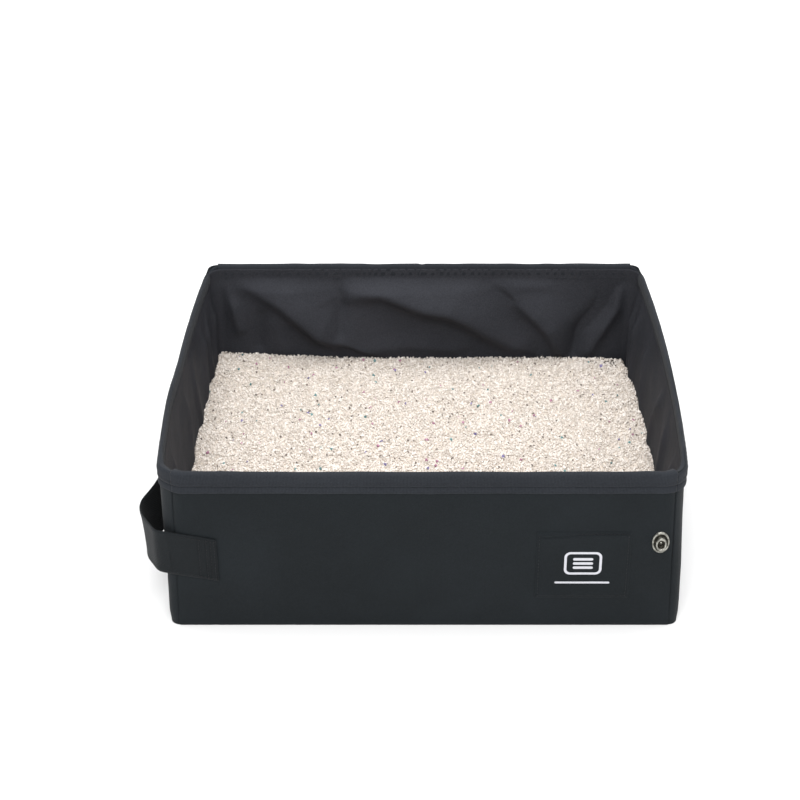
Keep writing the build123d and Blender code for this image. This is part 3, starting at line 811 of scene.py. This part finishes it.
def wall_liner():
    """One loose run of liner round three walls, hung from the rim tape; returns its line at the litter."""
    path, inward, run = liner_path(640)
    levels = np.concatenate([np.linspace(LINER_TOP, 45, 66), np.linspace(40, LINER_FOOT, 6)])
    u, z = grid_of(run, levels)
    x = np.repeat(path[:, :1], len(levels), axis=1)
    y = np.repeat(path[:, 1:], len(levels), axis=1)
    to_back = smoothstep(158, 174, y)
    slack = smoothstep(TAPE_FOOT + 2, 96, z)
    corner = 1 - 0.75 * bell(np.abs(x) - 201, 12) * to_back
    back = (4.0 * slack + 1.45 * softened(drape(x, z, BACK_FOLDS), 2)) * corner
    upright = 0.9 * wave(u * 2.4, z, scale=95, seed=4) + 0.6 * wave(u * 2, z, scale=40, seed=9)
    sag = 2.0 + 2.4 * bell(z - 52, 40) + 1.6 * np.clip(np.abs(y) / 130, 0, 1.2) ** 2
    sag = np.where(x < 0, 0.5 * sag - 0.6, sag)
    creases = np.where(x > 0, drape(y, z, RIGHT_FOLDS), drape(y, z, LEFT_FOLDS))
    side = (sag + upright + softened(creases, 1)) * slack
    stand = back * to_back + side * (1 - to_back)
    crinkle = waves(u, z, (0.22, 20, 3.1), (0.10, 8, 6.2))
    hang = smoothstep(138, 124, z)
    stand = np.maximum(stand * hang + crinkle * hang + 0.5 * hang, 0.15)
    lean = (RIM_BOW - HEM_BOW) * np.clip(1 - (y / 176) ** 2, 0, 1) - HEM_SPREAD
    stand = stand + lean * hem_share(z) * (1 - to_back)
    stand = stand + LEFT_BULGE * (1 - smoothstep(45, TAPE_FOOT, z)) * (x < 0) * smoothstep(5, -75, y)
    surface = np.stack([x + inward[:, :1] * stand, y + inward[:, 1:] * stand, z], axis=2)
    liner = cloth("wall_liner", surface, run, levels, LINER_THICK, LINER)
    settle(liner, "back_wall", "waterproof_liner", "back_wall_liner", "left_wall_liner", "right_wall_liner")
    crumple(liner)
    return surface[:, np.argmin(np.abs(levels - LITTER_TOP)), :2]


def front_liner():
    """The front wall's liner, in slanting folds to either side by turns."""
    xs = np.linspace(-FRONT_LINER_HALF, FRONT_LINER_HALF, 260)
    levels = np.linspace(LINER_TOP, LINER_FOOT, 70)
    x, z = grid_of(xs, levels)
    folds = []
    for k, at in enumerate(range(-170, 171, 68)):
        slant = 22 * (-1) ** k
        folds.append((((at - slant, 126, 1), (at, 92, 4), (at + slant, 48, 3)), 12, 7))
    soft = 2.0 + waves(x, z, (1.2, 48, 12), (0.3, 15, 17))
    stand = np.maximum(drape(x, z, folds) + soft, 0.2) * smoothstep(142, 124, z)
    y = front_bend(x, z) - WALL_INNER + 0.7 + stand
    liner = cloth("front_liner", np.stack([x, y, z], axis=2), xs, levels, LINER_THICK, LINER, inward=-1)
    settle(liner, "front_wall", "waterproof_liner", "front_wall_liner")
    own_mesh(liner)


def floor_lining(label, sign):
    xs = np.linspace(-FLOOR_HALF + 1, FLOOR_HALF - 1, 160)
    ys = np.linspace(LINING_START, LINING_START + LINING_FLAT[1], 80)
    x, y = grid_of(xs, ys)
    x = x * floor_half(WALL_INNER - FLOOR_GAP - y) / FLOOR_HALF
    z = POCKET + 0.55 + 0.05 * wave(x, y, scale=22, seed=5 + sign)
    sheet = np.stack([x, sign * y, z], axis=2)
    lining = cloth(f"floor_{label}_lining", sheet, xs, ys, LINING_THICK, LINER, inward=sign)
    settle(lining, f"floor_{label}", "waterproof_liner", f"floor_{label}_liner")


liner_line = wall_liner()
front_liner()
floor_lining("back", 1)
floor_lining("front", -1)


# Strap

STRAP_W = 40.5
STRAP_T = 1.6
STRAP_LOW = 45.6
STRAP_RISE = 7.6
STRAP_Y = -HALF_DEPTH - 0.4 - STRAP_T / 2
STRAP_CLEAR = 3.3
STRAP_SAG = 6.5
STRAP_LEAN = 7.5
HINGE_X = -FRONT_HALF - 5.0
SEWN_END = -FRONT_HALF + 31.8
SEWN_STATIONS = 90
# Lines of the box stitching, from the sewn end
STITCH_LINES = (1.8, 4.5, 8.0, 14.0)
STITCH_INSET = 2.4


def band(name, path, nrm, low, crown):
    """Flat strap of two sewn layers: path is the plan of its middle, low its lower edge per station.

    crown moves a place (run, share of the width) along the normal. The last end is rounded.
    """
    run = run_of(path)
    across = np.array([0, 0.02, 0.05, 0.09, 0.13, 0.25, 0.4, 0.5, 0.6, 0.75, 0.87, 0.91, 0.95, 0.98, 1.0])
    edge = np.array([0.25, 0.75, 1.0, 0.95, 0.78, 0.9, 1.0, 1.0, 1.0, 0.9, 0.78, 0.95, 1.0, 0.75, 0.25])
    shares = np.concatenate([across, across[::-1]])
    offs = STRAP_T / 2 * np.concatenate([edge, -edge[::-1]])
    loops = np.empty((len(path), len(shares), 3))
    for i in range(len(path)):
        squeeze = 0.5 + 0.5 * min(1.0, (run[-1] - run[i]) / 2.0)
        off = offs * squeeze + crown(run[i], shares)
        loops[i, :, :2] = path[i] + nrm[i] * off[:, None]
        loops[i, :, 2] = low[i] + shares * STRAP_W
    v = np.concatenate([across * STRAP_W, STRAP_W + 1 + across * STRAP_W, [2 * STRAP_W + 2]])
    return loft(name, loops, run, v, WEBBING)


def sewn_low(x):
    """Lower edge of the sewn end, which slopes up towards the corner."""
    return STRAP_LOW + STRAP_RISE * (SEWN_END - x) / (SEWN_END - HINGE_X)


def sewn_crown(run, share):
    """Surface of the sewn end at a run from its end: sunk along the rows of stitches."""
    rows = sum(depth * bell(run - at, 0.8) for at, depth in zip(STITCH_LINES[1:], (1, 1, 0.8)))
    slack = 0.15 * np.sin(share * 5.5 + run / 6) * (0.3 + min(1, run / 8))
    return slack + 0.35 * rows * (np.abs(share - 0.5) < 0.45)


def sewn_strap():
    xs = np.linspace(HINGE_X - 0.5, SEWN_END, SEWN_STATIONS)
    length = SEWN_END - HINGE_X
    plan = np.stack([xs, np.full_like(xs, STRAP_Y)], axis=1)
    outward = np.tile([[0.0, -1.0]], (SEWN_STATIONS, 1))
    sewn = band("strap_sewn_cloth", plan, outward, sewn_low(xs),
                lambda run, share: -sewn_crown(length - run, share))
    settle(sewn, "front_wall", "strap_webbing", "strap_sewn_end")


sewn_strap()


def rounded_line(points, count):
    """Plan line through corner points, each corner rounded over 45 % of its shorter leg, evenly spaced."""
    points = [np.array(p, float) for p in points]
    out = [points[0]]
    for a, b, c in zip(points, points[1:], points[2:]):
        legs = np.linalg.norm(a - b), np.linalg.norm(c - b)
        cut = 0.45 * min(legs)
        p, q = b + (a - b) / legs[0] * cut, b + (c - b) / legs[1] * cut
        out += [(1 - t) ** 2 * p + 2 * t * (1 - t) * b + t * t * q for t in np.linspace(0, 1, 24)]
    line, _ = evenly(np.array(out + [points[-1]]), count)
    for _ in range(4):
        line[1:-1] = (line[:-2] + 2 * line[1:-1] + line[2:]) / 4
    return line


SIDE_X = -(FRONT_HALF + CORNER_R + RIM_BOW) - STRAP_CLEAR - STRAP_T / 2
strap_line = rounded_line([
    (HINGE_X, STRAP_Y), (HINGE_X - 11, STRAP_Y + 2.5), (SIDE_X - 18, STRAP_Y + 40),
    (SIDE_X - 6.5, STRAP_Y + 80), (SIDE_X, STRAP_Y + 126), (SIDE_X, STRAP_Y + 166),
], 150)
strap_normal = right_normals(strap_line)
strap_run = run_of(strap_line)
strap_low = STRAP_LOW + STRAP_RISE - STRAP_SAG * smoothstep(6, 105, strap_run)


def tail_crown(run, share):
    """Surface of the loose end: its lower edge leans out on the way round the corner."""
    lean = STRAP_LEAN * smoothstep(28, 64, run) * (1 - smoothstep(105, 150, run)) * (1 - share)
    return lean + 0.5 * np.sin(math.pi * share) * math.sin(run / 31.0)


tail = band("strap_loose_cloth", strap_line, strap_normal, strap_low, tail_crown)
settle(tail, "strap", "strap_webbing", "strap_tail")


# Snap

SNAP = np.array((FRONT_HALF - 9.0, -HALF_DEPTH, 83.0))
SNAP_WIDTH_SHARE = 0.70
# Radius and reach from the wall, from the rim to the post
SNAP_PROFILE = ((10.0, -0.05), (10.0, 0.5), (9.7, 0.95), (9.1, 1.2), (8.3, 1.2), (7.9, 0.85), (7.6, 0.35),
                (6.5, 0.3), (6.3, 0.8), (6.2, 3.1), (5.9, 3.9), (5.4, 4.2), (4.7, 4.2), (4.2, 3.9), (3.9, 3.2),
                (3.6, 2.1), (2.2, 1.9), (1.6, 2.1), (1.2, 2.7), (0.6, 2.9))
# Steps of the profile in the rim's groove and the post's hollow, in darker metal: painted shade in the
# recesses
SHADE_STEPS = (5, 6, 7, 14, 15, 16)


def snap_stud(segments=72):
    """The snap's fixed half, revolved from its profile and drawn in to an oval."""
    angle = np.linspace(0, 2 * math.pi, segments, endpoint=False)
    radius, reach = np.array(SNAP_PROFILE).T
    m = len(SNAP_PROFILE)
    loops = np.empty((segments, m, 3))
    loops[..., 0] = SNAP[0] + SNAP_WIDTH_SHARE * np.cos(angle)[:, None] * radius
    loops[..., 1] = SNAP[1] - reach
    loops[..., 2] = SNAP[2] + np.sin(angle)[:, None] * radius
    faces = []
    paint = []
    for i in range(segments):
        a = i * m
        b = ((i + 1) % segments) * m
        for j in range(m - 1):
            faces.append((a + j, b + j, b + j + 1, a + j + 1))
            # Faces in the recesses take the darker nickel, painted shade
            paint.append(1 if j in SHADE_STEPS else 0)
    faces.append(tuple(i * m for i in range(segments)))
    faces.append(tuple(i * m + m - 1 for i in reversed(range(segments))))
    obj = make_object("snap_stud_metal", loops.reshape(-1, 3), faces, None, NICKEL)
    obj.data.materials.append(NICKEL_PAINTED_SHADE)
    obj.data.polygons.foreach_set("material_index", paint + [0, 0])
    settle(obj, "front_wall", "snap_metal", "snap_stud")


snap_stud()


# Label patch and its plain figure

PATCH_X = (89.0, 164.0)
PATCH_Z = (28.0, 93.0)
PATCH_SEAM = 2.2
PATCH_THICK = 0.4
PRINT_REACH = 0.08
PRINT_SINK = -0.1


def patch_height(x, z):
    """How far the patch stands off the wall: sunk at its seam, with an uneven fold near its top."""
    edge_x = np.minimum(x - PATCH_X[0], PATCH_X[1] - x)
    edge = np.minimum(edge_x, np.minimum(z - PATCH_Z[0], PATCH_Z[1] - z))
    seam = -0.25 * bell(edge - PATCH_SEAM, 0.7)
    lip = PATCH_Z[1] - 4.2 + 2.2 * smoothstep(108, 124, x) + 0.8 * wave(x, scale=9, seed=46)
    cut = 0.75 * bell(z - lip + 0.5, 0.6) * smoothstep(0.5, 3, edge)
    top_fold = 0.4 * smoothstep(lip, lip + 0.8, z) - cut
    body = 0.16 + 0.75 * smoothstep(0, 3.5, edge)
    return body + seam + top_fold * smoothstep(0, 2, PATCH_Z[1] - z) + 0.15 * wave(x, z, scale=20, seed=44)


def with_edges(low, high, count):
    """Stations from low to high, with one more close to each end."""
    return np.concatenate([[low, low + 0.3], np.linspace(low + 1, high - 1, count), [high - 0.3, high]])


def label_patch():
    xs = with_edges(*PATCH_X, 90)
    zs = with_edges(*PATCH_Z, 78)
    x, z = grid_of(xs, zs)
    surface = np.stack([x, -HALF_DEPTH - patch_height(x, z), z], axis=2)
    patch = cloth("label_patch_cloth", surface, xs, zs, PATCH_THICK, PATCH)
    settle(patch, "front_wall", "label_cloth", "label_patch")


label_patch()


def figure_piece(name, outline, hole=None):
    """Thin printed shape that lies on the patch; outlines in patch mm from its lower left corner."""
    def ring(points, reach):
        x, z = np.array(points).T + np.array([[PATCH_X[0]], [PATCH_Z[0]]])
        return np.stack([x, -HALF_DEPTH - patch_height(x, z) - reach, z], axis=1)
    k = len(outline)
    if hole is None:
        verts = np.concatenate([ring(outline, PRINT_REACH), ring(outline, PRINT_SINK)])
        faces = [tuple(range(k)), tuple(range(2 * k - 1, k - 1, -1))]
        faces += [(j, j + k, (j + 1) % k + k, (j + 1) % k) for j in range(k)]
    else:
        verts = np.concatenate([ring(outline, PRINT_REACH), ring(hole, PRINT_REACH),
                                ring(hole, PRINT_SINK), ring(outline, PRINT_SINK)])
        faces = [(a * k + j, b * k + j, b * k + (j + 1) % k, a * k + (j + 1) % k)
                 for a, b in ((0, 1), (1, 2), (2, 3), (3, 0)) for j in range(k)]
    uvs = [(verts[i][0], verts[i][2]) for face in faces for i in face]
    return make_object(name, verts, faces, np.array(uvs) / METRE, PRINT, smooth=False)


def rounded(cx, cz, w, h, r, steps=8):
    """Outline of a rounded rectangle: its centre, width, height and corner radius."""
    points = []
    for qx, qz, start in ((1, 1, 0), (-1, 1, 90), (-1, -1, 180), (1, -1, 270)):
        for k in range(steps + 1):
            a = math.radians(start + 90 * k / steps)
            points.append((cx + qx * (w / 2 - r) + r * math.cos(a), cz + qz * (h / 2 - r) + r * math.sin(a)))
    return points


FIGURE_X = 37.5
BAR = (16, 2.4, 1.1)
for name, outline, hole in (
    ("figure_frame", rounded(FIGURE_X, 35.0, 30, 22, 5), rounded(FIGURE_X, 35.0, 26, 18, 3.4)),
    ("figure_bar_a", rounded(FIGURE_X, 39.0, *BAR), None),
    ("figure_bar_b", rounded(FIGURE_X, 34.9, *BAR), None),
    ("figure_bar_c", rounded(FIGURE_X, 30.8, *BAR), None),
    ("figure_line", rounded(FIGURE_X, 16.0, 44, 1.8, 0.85), None),
):
    settle(figure_piece(name, outline, hole), "front_wall", "label_cloth")


# Geometry node helpers

def random_vector(tree, low, high, seed):
    inputs = {"Min": (low,) * 3, "Max": (high,) * 3, "Seed": seed}
    return node(tree, "FunctionNodeRandomValue", inputs, data_type="FLOAT_VECTOR").outputs["Value"]


def finish_group(tree, geometry, material, out):
    """Realised instances with their material, put out."""
    real = node(tree, "GeometryNodeRealizeInstances", {0: geometry})
    paint = node(tree, "GeometryNodeSetMaterial", {"Geometry": real.outputs[0], "Material": material})
    tree.links.new(paint.outputs[0], out.inputs[0])
    return tree


def baked(name, mesh, tree, values):
    """Runs a node tree on a source mesh and keeps its result as a plain mesh object."""
    source = link(name + "_source", mesh)
    mod = source.modifiers.new("nodes", "NODES")
    mod.node_group = tree
    ids = {item.name: item.identifier for item in tree.interface.items_tree if item.in_out == "INPUT"}
    for label, value in values.items():
        mod[ids[label]] = value
    graph = bpy.context.evaluated_depsgraph_get()
    graph.update()
    result = bpy.data.meshes.new_from_object(source.evaluated_get(graph))
    result.name = name
    bpy.data.objects.remove(source)
    return link(name, result)


# Stitches

def stitch_group():
    """Rows of thread stitches along edges: each a bead laid along the line, half sunk in the cloth."""
    g, gi, go = group("Stitch rows", [
        ("Geometry", "Geometry", None), ("Spacing", "Float", 0.0032),
        ("Length", "Float", 0.0024), ("Radius", "Float", 0.0003),
        ("Seed", "Int", 1), ("Thread", "Material", None),
    ], [("Geometry", "Geometry")], "GeometryNodeTree")
    curve = node(g, "GeometryNodeMeshToCurve", {0: gi.outputs["Geometry"]})
    points = node(g, "GeometryNodeCurveToPoints", {
        "Curve": curve.outputs[0], "Length": gi.outputs["Spacing"],
    }, mode="LENGTH")
    bead = node(g, "GeometryNodeMeshUVSphere", {"Segments": 6, "Rings": 4, "Radius": 1.0})
    smooth = node(g, "GeometryNodeSetShadeSmooth", {0: bead.outputs["Mesh"]})
    turn = node(g, "FunctionNodeAlignRotationToVector", {"Vector": points.outputs["Tangent"]}, axis="X")
    wobble = random_vector(g, -0.1, 0.1, gi.outputs["Seed"])
    euler = node(g, "FunctionNodeEulerToRotation", {0: wobble})
    both = node(g, "FunctionNodeRotateRotation", {0: turn.outputs[0], 1: euler.outputs[0]})
    half = math_node(g, "MULTIPLY", gi.outputs["Length"], 0.5)
    size = node(g, "ShaderNodeCombineXYZ", {0: half, 1: gi.outputs["Radius"], 2: gi.outputs["Radius"]})
    place = node(g, "GeometryNodeInstanceOnPoints", {
        "Points": points.outputs["Points"], "Instance": smooth.outputs[0],
        "Rotation": both.outputs[0], "Scale": size.outputs[0],
    })
    return finish_group(g, place.outputs[0], gi.outputs["Thread"], go)


STITCH = stitch_group()


def stitch_rows(name, rows, body, seed, spacing=3.2, length=2.5):
    """One piece of thread stitches: rows are lists of points in box millimetres, as are the sizes."""
    points = np.concatenate([np.array(row, float) for row in rows])
    edges = []
    start = 0
    for row in rows:
        edges += [(start + k, start + k + 1) for k in range(len(row) - 1)]
        start += len(row)
    mesh = bpy.data.meshes.new(name)
    mesh.from_pydata(metres(points).tolist(), edges, [])
    obj = baked(name, mesh, STITCH, {
        "Spacing": spacing / METRE, "Length": length / METRE, "Radius": THREAD_R / METRE,
        "Seed": seed, "Thread": THREAD,
    })
    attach(obj, body)
    return obj


def line(a, b):
    return np.linspace(a, b, 40)


def at_height(pts, z):
    return np.concatenate([pts, np.full((len(pts), 1), z)], axis=1)


THREAD_R = 0.25
THREAD_OUT = 0.5
SEAM_Z = TAPE_FOOT + 2.9
BACK_SEAM_Z = BACK_HEM + 3.3
SEAM_OUT = 0.9
SEAM_IN = -POCKET - 1.3
SIDE_SEAM_IN = 3.1


def long_seam(sign, reach, z):
    """Row along a long wall's tape, this far out from the wall's outer face."""
    pts, nrm, _ = straight_path(sign, 2.0)
    return at_height(pts + nrm * reach, z)


def patch_stitches():
    (x0, x1), (z0, z1) = ((low + PATCH_SEAM, high - PATCH_SEAM) for low, high in (PATCH_X, PATCH_Z))
    y = -HALF_DEPTH - THREAD_OUT
    corners = [(x0, y, z0), (x1, y, z0), (x1, y, z1), (x0, y, z1), (x0, y, z0)]
    return np.concatenate([line(a, b) for a, b in zip(corners, corners[1:])])


def box_stitches():
    """Lines across the strap's sewn end, and one along each of its edges."""
    face = STRAP_Y - STRAP_T / 2
    rows = []
    for back in STITCH_LINES:
        x = SEWN_END - back
        low = float(sewn_low(x))
        rows.append(line((x, face, low + STITCH_INSET), (x, face, low + STRAP_W - STITCH_INSET)))
    for up in (STITCH_INSET, STRAP_W - STITCH_INSET):
        a, b = SEWN_END - STITCH_LINES[0], HINGE_X + 2
        rows.append(line((a, face, sewn_low(a) + up), (b, face, sewn_low(b) + up)))
    return rows


def tail_stitches():
    """Rows along both edges of the loose end, on either face."""
    rows = []
    for share in (0.064, 0.936):
        for side in (1, -1):
            off = np.array([side * STRAP_T * 0.41 + tail_crown(r, share) for r in strap_run])
            pts = strap_line + strap_normal * off[:, None]
            rows.append(np.concatenate([pts, (strap_low + share * STRAP_W)[:, None]], axis=1)[3:-3])
    return rows


front_rows = [long_seam(-1, SEAM_OUT, SEAM_Z), long_seam(-1, SEAM_IN, SEAM_Z), patch_stitches()]
stitch_rows("front_stitches", front_rows, "front_wall", 3)
back_rows = [long_seam(1, SEAM_OUT, SEAM_Z), long_seam(1, SEAM_IN, BACK_SEAM_Z)]
stitch_rows("back_stitches", back_rows, "back_wall", 7)
side_rows = [at_height(plan(WALL_HEIGHT, inset, 300)[0], z) for plan in (side_plan, left_plan)
             for inset, z in ((-SEAM_OUT, SEAM_Z), (SIDE_SEAM_IN, BACK_SEAM_Z))]
crumple(stitch_rows("side_stitches", side_rows, "back_wall", 9))
stitch_rows("strap_box_stitches", box_stitches(), "front_wall", 5, spacing=2.6, length=2.1)
stitch_rows("strap_edge_stitches", tail_stitches(), "strap", 11, spacing=2.8, length=2.2)


# Litter

def grain_group():
    """Angular granules scattered over a surface, of four crushed shapes."""
    g, gi, go = group("Granules", [
        ("Geometry", "Geometry", None), ("Least gap", "Float", 0.0017),
        ("Density", "Float", 400000.0), ("Size", "Float", 0.0012),
        ("Seed", "Int", 1), ("Material", "Material", None),
    ], [("Geometry", "Geometry")], "GeometryNodeTree")
    scatter = node(g, "GeometryNodeDistributePointsOnFaces", {
        "Mesh": gi.outputs["Geometry"], "Distance Min": gi.outputs["Least gap"],
        "Density Max": gi.outputs["Density"], "Seed": gi.outputs["Seed"],
    }, distribute_method="POISSON")
    bundle = g.nodes.new("GeometryNodeGeometryToInstance")
    for k in range(4):
        base = node(g, "GeometryNodeMeshUVSphere", {"Segments": 4, "Rings": 3, "Radius": 1.0})
        shift = random_vector(g, -0.38, 0.38, 31 + k)
        crush = node(g, "GeometryNodeSetPosition", {"Geometry": base.outputs["Mesh"], "Offset": shift})
        g.links.new(crush.outputs[0], bundle.inputs[0])
    spin = random_vector(g, 0.0, 6.283, gi.outputs["Seed"])
    euler = node(g, "FunctionNodeEulerToRotation", {0: spin})
    vary = node(g, "FunctionNodeRandomValue", {
        2: 0.6, 3: 1.25, "Seed": gi.outputs["Seed"],
    }, data_type="FLOAT")
    place = node(g, "GeometryNodeInstanceOnPoints", {
        "Points": scatter.outputs["Points"], "Instance": bundle.outputs[0], "Pick Instance": True,
        "Rotation": euler.outputs[0], "Scale": math_node(g, "MULTIPLY", vary.outputs[1], gi.outputs["Size"]),
    })
    return finish_group(g, place.outputs[0], gi.outputs["Material"], go)


GRANULES = grain_group()

LITTER_HALF = 200
LITTER_FRONT = 172.5
HALVES_GAP = 0.3

# The litter reaches the liner: its edges follow the liner's line at its own level
right_line = liner_line[(liner_line[:, 0] > 100) & (liner_line[:, 1] < 168)]
left_line = liner_line[(liner_line[:, 0] < -100) & (liner_line[:, 1] < 168)][::-1]
back_line = liner_line[(liner_line[:, 1] > 150) & (np.abs(liner_line[:, 0]) < 198)][::-1]


def litter_field(sign, s, t):
    """Surface of one half's litter for shares s (left to right) and t (fold to wall)."""
    across = -LITTER_HALF + 2 * LITTER_HALF * s
    if sign > 0:
        end = np.interp(across, back_line[:, 0], back_line[:, 1])
    else:
        end = LITTER_FRONT + 0.8 * wave(across, scale=14, seed=77)
        end = end - 14 * bell(LITTER_HALF - np.abs(across), 9)
    y = sign * (HALVES_GAP + (end - HALVES_GAP) * t)
    low = np.interp(y, left_line[:, 1], left_line[:, 0])
    high = np.interp(y, right_line[:, 1], right_line[:, 0])
    x = low + (high - low) * s
    broad = waves(x, y, (1.3, 95, 61), (0.6, 27, 66), (0.35, 9, 69))
    rise = 3.0 * smoothstep(70, 172, y) + 5.0 * smoothstep(100, 172, y) * smoothstep(-60, -185, x)
    return np.stack([x, y, LITTER_TOP - 0.4 + broad + rise], axis=2)


BED_SINK = 0.9
FIELD_ROWS = 60
# Tag, material, least gap and size in mm, number per square metre, and the shares of the width covered
GRANULE_KINDS = (
    ("granules_a", LITTER, 1.62, 1.20, 420000.0, (0, 0.5)),
    ("granules_b", LITTER, 1.62, 1.20, 420000.0, (0.5, 1)),
    ("dark", LITTER_DARK, 3.0, 0.95, 5000.0, (0, 1)),
    ("teal", LITTER_TEAL, 9.0, 1.35, 520.0, (0, 1)),
    ("rose", LITTER_PINK, 7.0, 1.30, 620.0, (0, 1)),
    ("violet", LITTER_VIOLET, 9.0, 1.30, 320.0, (0, 1)),
)


def field_mesh(tag, sign, share, lift):
    """Open surface of one half's litter, or of a share of its width, to scatter granules on."""
    count = 1 + int(120 * (share[1] - share[0]))
    field = litter_field(sign, *grid_of(np.linspace(*share, count), np.linspace(0, 1, FIELD_ROWS)))
    field[..., 2] += lift
    faces = [(a, a + FIELD_ROWS, a + FIELD_ROWS + 1, a + 1)
             for i in range(count - 1) for a in range(i * FIELD_ROWS, (i + 1) * FIELD_ROWS - 1)]
    mesh = bpy.data.meshes.new(tag)
    mesh.from_pydata(metres(field).reshape(-1, 3).tolist(), [], faces)
    return mesh


def litter_bed(name, sign, body, seed):
    """One half of the litter: a solid bed with granules of each kind on top."""
    top = litter_field(sign, *grid_of(np.linspace(0, 1, 160), np.linspace(0, 1, 72)))
    bottom = top[:, ::-1].copy()
    bottom[..., 2] = FLOOR_TOP + BED_SINK
    loops = np.concatenate([top - (0, 0, BED_SINK), bottom], axis=1)
    # The bed's darker colour is painted shade between the granules
    bed = loft(name + "_bed", loops, np.arange(160.0), np.arange(145.0), LITTER_GAP_SHADE)
    pieces = [bed]
    for number, (tag, material, gap, size, density, share) in enumerate(GRANULE_KINDS, seed + 1):
        mesh = field_mesh(tag, sign, share, 0.0 if material is LITTER else 0.5)
        pieces.append(baked(f"{name}_{tag}", mesh, GRANULES, {
            "Least gap": gap / METRE, "Density": density, "Size": size / METRE,
            "Seed": number, "Material": material,
        }))
    for obj in pieces:
        settle(obj, body, "loose_litter", *([name] if obj == bed else []))
        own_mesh(obj)


litter_bed("litter_back", 1, "floor_back", 71)
litter_bed("litter_front", -1, "floor_front", 81)


# CAD pieces that stay in view

for name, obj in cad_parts.items():
    paint = NICKEL if name.startswith("snap") else BOARD if "board" in name else None
    if paint:
        for slot in obj.material_slots:
            slot.material = paint


# Stage, lights, camera

FLOOR_REACH = 6
FLOOR_WHITE = 0.84
WORLD_LIGHT = 1.0
LIGHT_AIM = (0, 0, 0.05)
CAMERA_Y = -1272.0
CAMERA_Z = 0.873
CAMERA_DOWN = 31.1


def stage_setup():
    """Pale floor, and a white world that lights the object and fills the background."""
    mesh = bpy.data.meshes.new("studio_floor")
    corners = [(x * FLOOR_REACH, y * FLOOR_REACH, 0) for x, y in ((-1, -1), (1, -1), (1, 1), (-1, 1))]
    mesh.from_pydata(corners, [], [(0, 1, 2, 3)])
    mat, tree, shader, _ = new_material("studio_white")
    white = (FLOOR_WHITE,) * 3 + (1,)
    feed(tree, shader, {"Base Color": white, "Roughness": 0.9, "Specular IOR Level": 0.1})
    mesh.materials.append(mat)
    link("studio_floor", mesh)
    world = bpy.data.worlds.new("studio")
    bpy.context.scene.world = world
    world.use_nodes = True
    tree = world.node_tree
    tree.nodes.clear()
    camera_ray = node(tree, "ShaderNodeLightPath", {}).outputs["Is Camera Ray"]
    mix = node(tree, "ShaderNodeMixShader", {"Fac": camera_ray})
    for k, strength in ((1, WORLD_LIGHT), (2, 1.0)):
        glow = node(tree, "ShaderNodeBackground", {"Color": (1, 1, 1, 1), "Strength": strength})
        feed(tree, mix, {k: glow.outputs[0]})
    node(tree, "ShaderNodeOutputWorld", {"Surface": mix.outputs[0]})


def area_light(name, place, size, energy):
    data = bpy.data.lights.new(name, "AREA")
    data.shape = "RECTANGLE"
    data.size, data.size_y = size
    data.energy = energy
    obj = link(name, data)
    obj.location = place
    obj.rotation_euler = (Vector(LIGHT_AIM) - Vector(place)).to_track_quat("-Z", "Y").to_euler()


stage_setup()
area_light("top", (0, 0.15, 1.7), (1.5, 1.5), 24)
area_light("front", (-0.1, -1.45, 1.6), (1.0, 0.8), 20)

data = bpy.data.cameras.new("photo_camera")
data.lens = 76.5
data.sensor_width = 36
data.shift_x = -0.03
data.clip_end = 50
camera = link("photo_camera", data)
camera.location = (SHIFT[0] / METRE, (CAMERA_Y + SHIFT[1]) / METRE, CAMERA_Z)
camera.rotation_euler = (math.radians(90 - CAMERA_DOWN), 0, 0)
bpy.context.scene.camera = camera
bpy.context.scene.view_settings.view_transform = "Standard"
